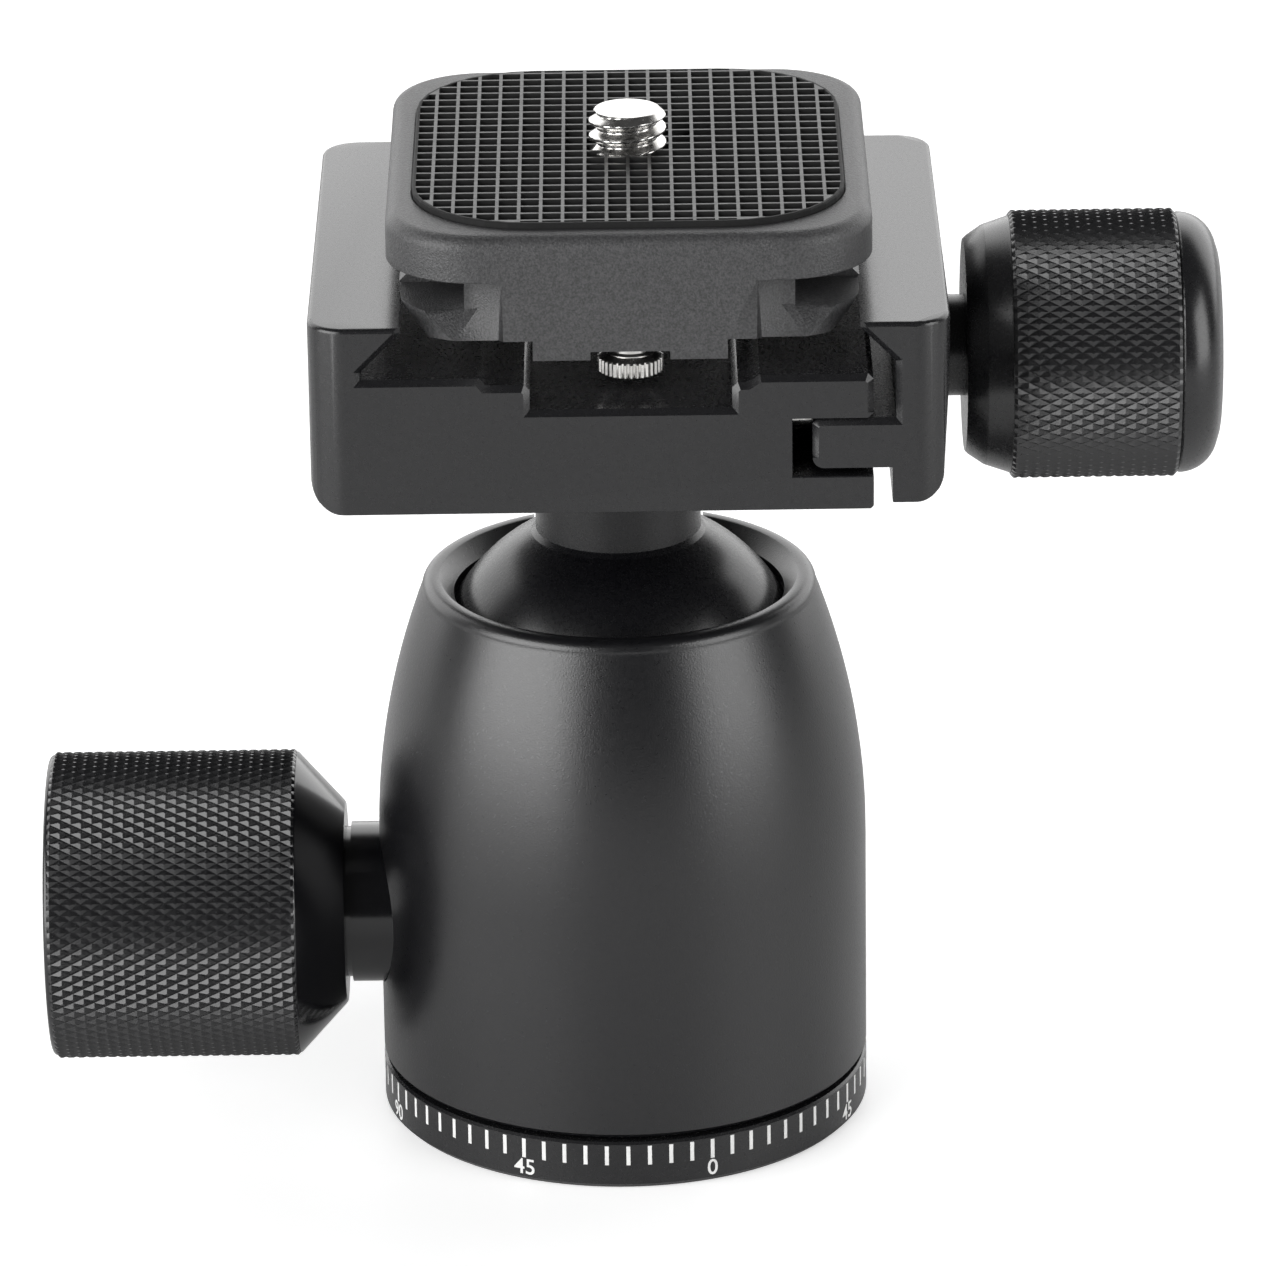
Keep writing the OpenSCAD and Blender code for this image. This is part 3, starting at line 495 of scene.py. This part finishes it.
PAD_RIB_PAINTED_SHEEN = plastic("pad_rib", (0.026, 0.026, 0.026), 0.42)
STEEL = bright_metal("steel_bright", (0.78, 0.77, 0.75), 0.2, 5000)
BRASS = bright_metal("brass_turned", (0.78, 0.58, 0.28), 0.3, 4000)
WHITE_PLASTIC = plastic("acetal_white", (0.76, 0.75, 0.7), 0.45)
BLACK_PLASTIC = plastic("acetal_black", (0.012, 0.012, 0.012), 0.5)
INK_WHITE = plastic("scale_ink", (0.8, 0.8, 0.79), 0.5)

NODE_MATERIALS = {
    "base_plate": ANODISED, "pan_carrier": ANODISED, "clamp_body": ANODISED, "clamp_jaw": ANODISED,
    "housing": HOUSING, "ball": BALL, "lock_knob_collar": KNOB_END, "plate_body": PLATE,
    "lock_knob": KNOB, "clamp_knob": KNOB, "pan_lock_knob": KNOB, "plate_pad": PAD_RUBBER_AND_PAINTED_SHADE,
    "lock_bush": BRASS, "pan_brake_shoe": BRASS, "wedge_slider": BRASS,
    "ball_cup": WHITE_PLASTIC, "pan_bearing_washer": WHITE_PLASTIC, "ball_liner": BLACK_PLASTIC,
}


def dress_nodes():
    """Gives every CAD node its material."""
    for name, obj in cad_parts.items():
        material = NODE_MATERIALS.get(name, STEEL)
        if not obj.material_slots:
            obj.data.materials.append(material)
        for slot in obj.material_slots:
            slot.link = "OBJECT"
            slot.material = material


# ---------------------------------------------------------------- pieces

def soft_edges():
    """Clamp, jaw and plate with their outer edges broken."""
    jaw_margin, slab_margin = 1, 4
    jaw_inside = mm_box("plate_body")[1].x - jaw_margin
    slab_foot = mm_box("plate_pad")[0].z - slab_margin
    for node, body, slot, test in (
            ("clamp_body", "clamp", "anodised_black", lambda p: True),
            ("clamp_jaw", "jaw", "anodised_black", lambda p: p.x > jaw_inside),
            ("plate_body", "plate", "plate_grey", lambda p: p.z > slab_foot)):
        piece = soft_copy(node, test)
        piece.data.materials.clear()
        piece.data.materials.append(NODE_MATERIALS[node])
        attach(piece, body)
        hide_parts(node)


def housing_rim():
    """Crest and inner cone of the barrel's rim, open at the drop notch."""
    land_z = mm_box("housing")[1].z
    base_low, base_high = mm_box("base_plate")
    ball_low, ball_high = mm_box("ball")
    base_r = (base_high.x - base_low.x) / 2
    notch_half = (ball_high.x - ball_low.x) / 2 - NOTCH_INSET
    crest_z, foot_z = land_z + RIM_RISE, land_z - RIM_FOOT
    round_z = crest_z - RIM_ROUND
    rows, sunk, edge, lead = 6, 0.5, 0.08, 0.15

    def wall(z):
        """Radius of the barrel at a height."""
        return base_r - BARREL_ARC + math.sqrt(BARREL_ARC ** 2 - (z - BARREL_SHOULDER) ** 2)

    foot = (foot_z, wall(foot_z) - sunk)
    side = [foot_z + (round_z - foot_z) * k / rows for k in range(rows + 1)]
    outline = ([foot] + [(z, wall(z) + RIM_SKIN) for z in side]
               + [(z, r - RIM_ROUND + wall(round_z) + RIM_SKIN)
                  for z, r in arc(round_z, 0, RIM_ROUND, 84, 0)]
               + [(crest_z, RIM_CREST_R), (crest_z - 0.06, RIM_CREST_R - 0.12),
                  (crest_z - MOUTH_FALL, MOUTH_R + edge), (crest_z - MOUTH_FALL - edge, MOUTH_R),
                  (foot_z + lead, MOUTH_R), foot])
    piece = make_object("housing_rim", *lathe(outline, (0, 0, 0), (0, 0, 1), 240), HOUSING, SMOOTH)
    cut_inside, cut_h = 8, 8
    carve(piece, box_object((0, base_r, land_z), (2 * notch_half, 2 * (base_r - cut_inside), cut_h)))
    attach(piece, "housing")


def lock_knob():
    """Large knob: diamond knurl, smooth cone and a dished end with a bore for the cap screw."""
    low, high = mm_box("lock_knob")
    mid = centre("lock_knob")
    origin, axis = (0, mid.y, mid.z), (-1, 0, 0)
    radius = (high.z - low.z) / 2
    x_cone, x_end = -high.x, -low.x
    screw_low, screw_high = mm_box("lock_screw")
    x_tail, bore = -screw_low.x, (screw_high.z - screw_low.z) / 2 + 0.03
    cone_l, cone_r = 4.0, 8.7
    x_knurl = x_cone + cone_l
    rim, core = radius - KNURL_DEPTH, radius - KNURL_DEPTH - 0.25
    dish_r, dish_h, cap_r, cap_bore = 8.5, 1.2, bore + 0.17, 1.55
    x_dish, x_cap = x_end - dish_h, x_tail + 4.0
    bead_half, bead_low, bead_top, end_round, edge = 0.12, 0.28, 0.2, 0.35, 0.2
    parts = ([], [])
    add_shell(parts, *knurl(x_knurl + KNURL_CHAMFER + 0.02, x_end - 0.55, radius, core, LOCK_DIAMOND,
                            origin, axis))
    outline = ([(x_cone + 0.6, bore), (x_cone, bore + 0.3), (x_cone, cone_r - edge), (x_cone + 0.15, cone_r),
                (x_knurl - bead_half, radius - bead_low), (x_knurl, radius - bead_top),
                (x_knurl + bead_half, radius - bead_low), (x_knurl + 0.18, core),
                (x_end - 0.5, core), (x_end - 0.4, rim)]
               + arc(x_end - end_round, rim - end_round, end_round, 90, 0, 6)
               + [(x_end, dish_r + 0.3), (x_end - 0.3, dish_r), (x_dish, dish_r - 0.1),
                  (x_dish, cap_r + edge), (x_dish - edge, cap_r), (x_cap, cap_r),
                  (x_cap, cap_bore), (x_tail, cap_bore), (x_tail, bore), (x_cone + 0.6, bore)])
    add_shell(parts, *lathe(outline, origin, axis))
    piece = make_object("lock_knob_knurled", *parts, KNOB, SMOOTH)
    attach(piece, "lock_knob")
    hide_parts("lock_knob")
    finish_where(piece, KNOB_END, lambda p: -p.x < x_knurl + 0.15)


def clamp_knob():
    """Clamp knob: knurl between a smooth chamfered band and a rounded smooth end."""
    low, high = mm_box("clamp_knob")
    mid = centre("clamp_knob")
    origin, axis = (0, mid.y, mid.z), (1, 0, 0)
    radius = (high.z - low.z) / 2
    x_neck, x_end = low.x, high.x
    screw_low, screw_high = mm_box("clamp_screw")
    x_tail, bore = screw_high.x, (screw_high.z - screw_low.z) / 2
    neck_r, round_l, band_l, knurl_l = 4.2, 3.5, 3.7, 13.8
    x_round = x_end - round_l
    x_knurl = x_round - knurl_l
    x_in = x_knurl - band_l
    core = radius - KNURL_DEPTH - 0.25
    chamfer_l, step, land = 1.7, 0.42, 0.3
    end_round = 3.15
    parts = ([], [])
    add_shell(parts, *knurl(x_knurl + land, x_round - land, radius, core, CLAMP_DIAMOND, origin, axis))
    outline = ([(x_neck, bore), (x_neck, neck_r), (x_in, neck_r), (x_in, radius - 2.3),
                (x_in + 0.25, radius - 2.05), (x_in + 1.5, radius - 1.2), (x_in + chamfer_l, radius - 1.12),
                (x_knurl - 0.15, radius - 0.5), (x_knurl, radius - step), (x_knurl, core), (x_round, core),
                (x_round, radius - step), (x_round + 0.2, radius - land)]
               + arc(x_end - 3.3, radius - 3.45, end_round, 86, 14, 10)
               + [(x_end - 0.05, radius - 3.3), (x_end, radius - 3.6), (x_end, ON_AXIS),
                  (x_tail, ON_AXIS), (x_tail, bore), (x_neck, bore)])
    add_shell(parts, *lathe(outline, origin, axis))
    piece = make_object("clamp_knob_knurled", *parts, KNOB, SMOOTH)
    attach(piece, "clamp_knob")
    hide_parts("clamp_knob")
    finish_where(piece, BALL, lambda p: p.x < x_in + chamfer_l)
    finish_where(piece, ANODISED, lambda p: x_in + chamfer_l <= p.x < x_knurl or p.x > x_round)


def pan_lock_knob():
    """Small knurled knob of the pan lock."""
    low, high = mm_box("pan_lock_knob")
    mid = centre("pan_lock_knob")
    origin, axis = (mid.x, 0, mid.z), (0, 1, 0)
    radius = (high.z - low.z) / 2
    y_neck, y_end = low.y, high.y
    neck_r, neck_l, bore, bore_end, end_round = 3.2, 1.2, 1.5, 2, 0.6
    y_in = y_neck + neck_l
    rim, core = radius - KNURL_DEPTH, radius - KNURL_DEPTH - 0.2
    parts = ([], [])
    add_shell(parts, *knurl(y_in + 0.9, y_end - 1.0, radius, core, PAN_DIAMOND, origin, axis))
    outline = ([(y_neck, bore), (y_neck, neck_r), (y_in, neck_r), (y_in, rim - 0.7), (y_in + 0.55, rim),
                (y_in + 0.7, core), (y_end - 0.8, core), (y_end - 0.7, rim)]
               + arc(y_end - end_round, rim - end_round, end_round, 90, 0, 6)
               + [(y_end, ON_AXIS), (y_end - bore_end, ON_AXIS), (y_end - bore_end, bore), (y_neck, bore)])
    add_shell(parts, *lathe(outline, origin, axis, 96))
    piece = make_object("pan_lock_knob_knurled", *parts, KNOB, SMOOTH)
    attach(piece, "pan_lock")
    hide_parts("pan_lock_knob")


def camera_screw():
    """Camera screw with its real thread, reduced shank and slotted head."""
    low, high = mm_box("camera_screw")
    mid = centre("camera_screw")
    pad_top = mm_box("plate_pad")[1].z
    crest, shank, head_r, head_h, tip, edge = 3.175, 2.675, 6.8, 2.4, 0.45, 0.2
    slot_w, slot_h, slot_over, overlap = 1.6, 1.2, 1, 0.05
    thread_z, head_z = pad_top - 0.5, low.z + head_h
    shank_z = thread_z + overlap
    outline = [(low.z, ON_AXIS), (low.z, head_r - edge), (low.z + edge, head_r), (head_z - edge, head_r),
               (head_z, head_r - edge), (head_z, shank), (shank_z, shank),
               (shank_z, ON_AXIS), (low.z, ON_AXIS)]
    head = make_object("camera_screw_head", *lathe(outline, (mid.x, mid.y, 0), (0, 0, 1), 96), STEEL, SMOOTH)
    carve(head, box_object((mid.x, mid.y, low.z), (slot_w, 2 * (head_r + slot_over), 2 * slot_h)))
    threaded = make_object("camera_screw_threaded",
                           *thread(thread_z, high.z, crest, CAMERA_PITCH, (mid.x, mid.y), tip),
                           STEEL, THREAD_SMOOTH)
    for piece in (head, threaded):
        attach(piece, "camera_screw")
        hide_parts("camera_screw")


def stop_pins():
    """Stop pins with straight-knurled heads."""
    low, high = mm_box("stop_pins")
    mid_x = (low.x + high.x) / 2
    radius = (high.x - low.x) / 2
    head_h, neck_h, neck_r, shank, collar_r = 1.9, 3.15, 1.78, 1.28, 1.95
    teeth, tooth_h = 34, 0.14
    steps = 4 * teeth
    top, neck_z = low.z + head_h, low.z + neck_h
    # height, radius and whether the teeth are cut there
    levels = [(low.z, radius - 0.85, False), (low.z + 0.06, radius - 0.6, False),
              (low.z + 0.28, radius - 0.2, False), (low.z + 0.42, radius, True),
              (top - 0.4, radius, True), (top - 0.3, radius - 0.15, False),
              (top - 0.02, 2.1, False), (top, 2.0, False)]
    neck = [(top - 0.1, ON_AXIS), (top - 0.1, collar_r), (top + 0.1, collar_r), (top + 0.3, neck_r),
            (neck_z, neck_r), (neck_z, shank), (high.z, shank), (high.z, ON_AXIS)]
    parts = ([], [])
    for y in (low.y + radius, high.y - radius):
        verts, faces = [], []
        for z, r, toothed in levels:
            for i in range(steps):
                groove = tooth_h if toothed and i % 4 in (0, 1) else 0.0
                a = TAU * i / steps
                verts.append((mid_x + (r - groove) * math.cos(a), y + (r - groove) * math.sin(a), z))
        for k in range(len(levels) - 1):
            for i in range(steps):
                n = (i + 1) % steps
                faces.append((k * steps + i, k * steps + n, (k + 1) * steps + n, (k + 1) * steps + i))
        faces.append(tuple(range(steps - 1, -1, -1)))
        faces.append(tuple((len(levels) - 1) * steps + i for i in range(steps)))
        add_shell(parts, verts, faces)
        add_shell(parts, *lathe(neck, (mid_x, y, 0), (0, 0, 1), 64))
    piece = make_object("stop_pins_knurled", *parts, STEEL, SMOOTH)
    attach(piece, "plate")
    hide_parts("stop_pins")


def round_outline(half, corner, steps=8):
    """Points of a rectangle with round corners, given by its half sizes."""
    points = []
    for quarter, (sx, sy) in enumerate(((1, 1), (-1, 1), (-1, -1), (1, -1))):
        for k in range(steps + 1):
            a = math.radians(90 * quarter + 90 * k / steps)
            points.append((sx * (half[0] - corner) + corner * math.cos(a),
                           sy * (half[1] - corner) + corner * math.sin(a)))
    return points


def pad_grid():
    """Rubber pad with a square grid of raised ribs, cut by a narrow round-cornered border."""
    low, high = mm_box("plate_pad")
    mid = centre("plate_pad")
    lip, on_line = 0.12, 1e-5
    half = ((high.x - low.x) / 2 - GRID_BORDER, (high.y - low.y) / 2 - GRID_BORDER)
    corner = PAD_CORNER - GRID_BORDER

    def cells(reach):
        """Places of the cells across one side, centred."""
        count = 2 * math.ceil(reach / GRID_PITCH)
        start = -count * GRID_PITCH / 2
        return [(start + k * GRID_PITCH + GRID_RIB / 2, start + (k + 1) * GRID_PITCH - GRID_RIB / 2)
                for k in range(count)]

    cells_x, cells_y = cells(half[0]), cells(half[1])
    bm = bmesh.new()
    bm.faces.new([bm.verts.new((x, y, 0)) for x, y in round_outline(half, corner)])
    for direction, places in (((1, 0, 0), cells_x), ((0, 1, 0), cells_y)):
        for cut in (c for cell in places for c in cell):
            bmesh.ops.bisect_plane(bm, geom=bm.verts[:] + bm.edges[:] + bm.faces[:], dist=on_line,
                                   plane_co=Vector(direction) * cut, plane_no=direction)

    def is_cell(face):
        """Whether a face is a cell between the ribs that is large enough to be sunk."""
        spot = face.calc_center_median()
        small = SMALL_CELL * (GRID_PITCH - GRID_RIB) ** 2
        return (face.calc_area() > small and any(a < spot.x < b for a, b in cells_x)
                and any(a < spot.y < b for a, b in cells_y))

    def outwards(point):
        """Direction away from the round-cornered outline at one of its points."""
        dx = max(0.0, abs(point.x) - (half[0] - corner))
        dy = max(0.0, abs(point.y) - (half[1] - corner))
        return Vector((math.copysign(dx, point.x), math.copysign(dy, point.y), 0)).normalized()

    sunk = [f for f in bm.faces if is_cell(f)]
    rim = [e for e in bm.edges if e.is_boundary]
    side = []
    for reach, drop in ((GRID_BORDER - lip, 0), (lip, lip), (0, high.z - low.z - lip)):
        grown = bmesh.ops.extrude_edge_only(bm, edges=rim)["geom"]
        side += [g for g in grown if isinstance(g, bmesh.types.BMFace)]
        rim = [g for g in grown if isinstance(g, bmesh.types.BMEdge) and g.is_boundary]
        for v in (g for g in grown if isinstance(g, bmesh.types.BMVert)):
            v.co += outwards(v.co) * reach - Vector((0, 0, drop))
    pushed = bmesh.ops.extrude_face_region(bm, geom=sunk)["geom"]
    floors = [g for g in pushed if isinstance(g, bmesh.types.BMFace)]
    bmesh.ops.translate(bm, verts=[g for g in pushed if isinstance(g, bmesh.types.BMVert)],
                        vec=(0, 0, -GRID_DEPTH))
    bmesh.ops.delete(bm, geom=sunk, context="FACES_ONLY")
    # cell floors, the border strip and the pad's edge take the near-black copy: painted shade in the
    # recesses and along the border
    for face in floors + side:
        face.material_index = 1
    for v in bm.verts:
        v.co = (Vector((mid.x, mid.y, high.z)) + v.co) * MM
    bmesh.ops.recalc_face_normals(bm, faces=bm.faces)
    mesh = bpy.data.meshes.new("pad_ribbed")
    bm.to_mesh(mesh)
    bm.free()
    piece = bpy.data.objects.new("pad_ribbed", mesh)
    bpy.context.scene.collection.objects.link(piece)
    # slot 0: rib tops, lighter as painted sheen; slot 1: cells, border and sides, darker as painted shade
    piece.data.materials.append(PAD_RIB_PAINTED_SHEEN)
    piece.data.materials.append(PAD_RUBBER_AND_PAINTED_SHADE)
    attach(piece, "plate")
    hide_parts("plate_pad")


def base_scale():
    """Printed marks every five degrees and plain numerals every forty-five, both ways from zero."""
    low, high = mm_box("base_plate")
    radius = (high.x - low.x) / 2
    z1 = RING_TOP - TICK_TOP
    z0 = z1 - TICK_H
    verts, faces = [], []
    for k in range(0, 360, TICK_STEP):
        a = math.radians(SCALE_ZERO - 90 + k)
        out, side = Vector((math.cos(a), math.sin(a), 0)), Vector((-math.sin(a), math.cos(a), 0))
        base = len(verts)
        for r in (radius - INK_ROOT, radius + INK):
            for s in (-1, 1):
                for z in (z0, z1):
                    verts.append(out * r + side * (s * TICK_W / 2) + Vector((0, 0, z)))
        faces += [tuple(base + i for i in face) for face in BOX_FACES]
    marks = make_object("scale_marks", verts, faces, INK_WHITE)
    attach(marks, "base")
    gap = 0.12
    for k in range(0, 360, NUMERAL_STEP):
        value = k if k <= 180 else 360 - k
        numeral(f"scale_number_{k}", str(value), SCALE_ZERO - k, z0 - gap, radius)


def numeral(name, text, azimuth, top, radius):
    """One number, wrapped on the base ring, its top edge at a height."""
    curve = bpy.data.curves.new(name, "FONT")
    curve.body = text
    curve.align_x = "CENTER"
    digit_share, bolder, thick = 0.72, 0.018, 0.05
    curve.size = NUMERAL_H / digit_share
    curve.offset = bolder
    curve.extrude = thick
    curve.resolution_u = 4
    text_object = bpy.data.objects.new(name + "_outline", curve)
    bpy.context.scene.collection.objects.link(text_object)
    bpy.context.view_layer.update()
    mesh = bpy.data.meshes.new_from_object(
        text_object.evaluated_get(bpy.context.evaluated_depsgraph_get()))
    bpy.data.objects.remove(text_object)
    highest = max(v.co.y for v in mesh.vertices)
    middle = (max(v.co.x for v in mesh.vertices) + min(v.co.x for v in mesh.vertices)) / 2
    for v in mesh.vertices:
        a = math.radians(azimuth - 90) + (v.co.x - middle) / radius
        r = radius + (INK if v.co.z > 0 else -INK_ROOT)
        v.co = Vector((r * math.cos(a), r * math.sin(a), top + v.co.y - highest)) * MM
    mesh.name = name
    piece = bpy.data.objects.new(name, mesh)
    bpy.context.scene.collection.objects.link(piece)
    piece.data.materials.clear()
    piece.data.materials.append(INK_WHITE)
    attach(piece, "base")


def socket_thread():
    """Inside thread of the tripod socket."""
    first, last = 0.9, 7.8
    piece = make_object("socket_thread", *inner_thread(first, last, SOCKET_R, TRIPOD_PITCH), ANODISED,
                        THREAD_SMOOTH)
    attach(piece, "base")


# ---------------------------------------------------------------- stage, light and camera

def stage():
    """A pale floor that keeps the object's shadow and runs into white."""
    size, below = 3.0, 0.00005
    bpy.ops.mesh.primitive_plane_add(size=size, location=(0, 0, -below))
    floor = bpy.context.object
    floor.name = "floor"
    material, nodes, links, bsdf = start_material("floor_white")
    bsdf.inputs["Base Color"].default_value = (0.86, 0.86, 0.86, 1)
    bsdf.inputs["Roughness"].default_value = 0.5
    bsdf.inputs["Specular IOR Level"].default_value = 0.25
    glow = nodes.new("ShaderNodeEmission")
    glow.inputs["Color"].default_value = (1, 1, 1, 1)
    paths = nodes.new("ShaderNodeLightPath")
    lift = nodes.new("ShaderNodeMath")
    lift.operation = "MULTIPLY"
    lift.inputs[1].default_value = FLOOR_LIFT
    links.new(paths.outputs["Is Camera Ray"], lift.inputs[0])
    links.new(lift.outputs["Value"], glow.inputs["Strength"])
    total = nodes.new("ShaderNodeAddShader")
    links.new(bsdf.outputs["BSDF"], total.inputs[0])
    links.new(glow.outputs["Emission"], total.inputs[1])
    links.new(total.outputs["Shader"], nodes["Material Output"].inputs["Surface"])
    floor.data.materials.append(material)


def world_light():
    """A bright backdrop behind the object and a dim room elsewhere; the camera sees plain white."""
    world = bpy.data.worlds.new("studio")
    world.use_nodes = True
    bpy.context.scene.world = world
    nodes, links = world.node_tree.nodes, world.node_tree.links
    way = nodes.new("ShaderNodeSeparateXYZ")
    links.new(nodes.new("ShaderNodeTexCoord").outputs["Generated"], way.inputs["Vector"])
    behind = ramp(nodes, links, way.outputs["Y"], BACKDROP_SIDE, (0, 1))
    below_top = ramp(nodes, links, way.outputs["Z"], BACKDROP_TOP, (1, 0))
    both = nodes.new("ShaderNodeMath")
    both.operation = "MULTIPLY"
    links.new(behind, both.inputs[0])
    links.new(below_top, both.inputs[1])
    background = nodes["Background"]
    background.inputs["Color"].default_value = (1, 1, 1, 1)
    links.new(ramp(nodes, links, both.outputs["Value"], (0, 1), (ROOM, BACKDROP)),
              background.inputs["Strength"])
    shown = nodes.new("ShaderNodeBackground")
    shown.inputs["Color"].default_value = (1, 1, 1, 1)
    shown.inputs["Strength"].default_value = 1.0
    paths = nodes.new("ShaderNodeLightPath")
    mix = nodes.new("ShaderNodeMixShader")
    links.new(paths.outputs["Is Camera Ray"], mix.inputs["Fac"])
    links.new(background.outputs["Background"], mix.inputs[1])
    links.new(shown.outputs["Background"], mix.inputs[2])
    links.new(mix.outputs["Shader"], nodes["World Output"].inputs["Surface"])


def ramp(nodes, links, value, source, target):
    """A value moved from one range to another, and held at its ends."""
    node = nodes.new("ShaderNodeMapRange")
    node.interpolation_type = "SMOOTHSTEP"
    node.inputs["From Min"].default_value, node.inputs["From Max"].default_value = source
    node.inputs["To Min"].default_value, node.inputs["To Max"].default_value = target
    links.new(value, node.inputs["Value"])
    return node.outputs["Result"]


def softbox(name, azimuth, spread_deg, top_deg, radiance):
    """Upright light panel on the floor; azimuth from the camera's side, towards +X."""
    a, distance = math.radians(azimuth), 1.2
    width = 2 * distance * math.tan(math.radians(spread_deg / 2))
    height = distance * math.tan(math.radians(top_deg))
    light = bpy.data.lights.new(name, "AREA")
    light.shape = "RECTANGLE"
    light.size, light.size_y = width, height
    light.energy = radiance * math.pi * width * height
    obj = bpy.data.objects.new(name, light)
    bpy.context.scene.collection.objects.link(obj)
    obj.location = (distance * math.sin(a), -distance * math.cos(a), height / 2)
    towards = Vector((-math.sin(a), math.cos(a), 0))
    obj.rotation_euler = towards.to_track_quat("-Z", "Y").to_euler()


def lights():
    """Two soft panels, left and right of the camera."""
    softbox("key_left", azimuth=-54, spread_deg=58, top_deg=42, radiance=4.7)
    softbox("fill_right", azimuth=60, spread_deg=38, top_deg=42, radiance=3.4)


def camera():
    """The photograph's view: a long lens a little above the object."""
    target = Vector((1.11, 0, 41.73)) * MM
    distance, elevation, roll = 0.691, math.radians(21.45), math.radians(-0.77)
    focal_px, frame_px = 8232, 1266
    data = bpy.data.cameras.new("camera")
    data.sensor_width = 36
    data.lens = focal_px / frame_px * data.sensor_width
    data.clip_start = 0.05
    obj = bpy.data.objects.new("camera", data)
    bpy.context.scene.collection.objects.link(obj)
    back = Vector((0, -math.cos(elevation), math.sin(elevation)))
    obj.location = target + back * distance
    turn = back.to_track_quat("Z", "Y").to_matrix().to_4x4() @ Matrix.Rotation(roll, 4, "Z")
    obj.rotation_euler = turn.to_euler()
    bpy.context.scene.camera = obj


camera()
stage()
world_light()
lights()
dress_nodes()
soft_edges()
housing_rim()
lock_knob()
clamp_knob()
pan_lock_knob()
camera_screw()
stop_pins()
pad_grid()
base_scale()
socket_thread()

bpy.context.scene.view_settings.view_transform = "Standard"
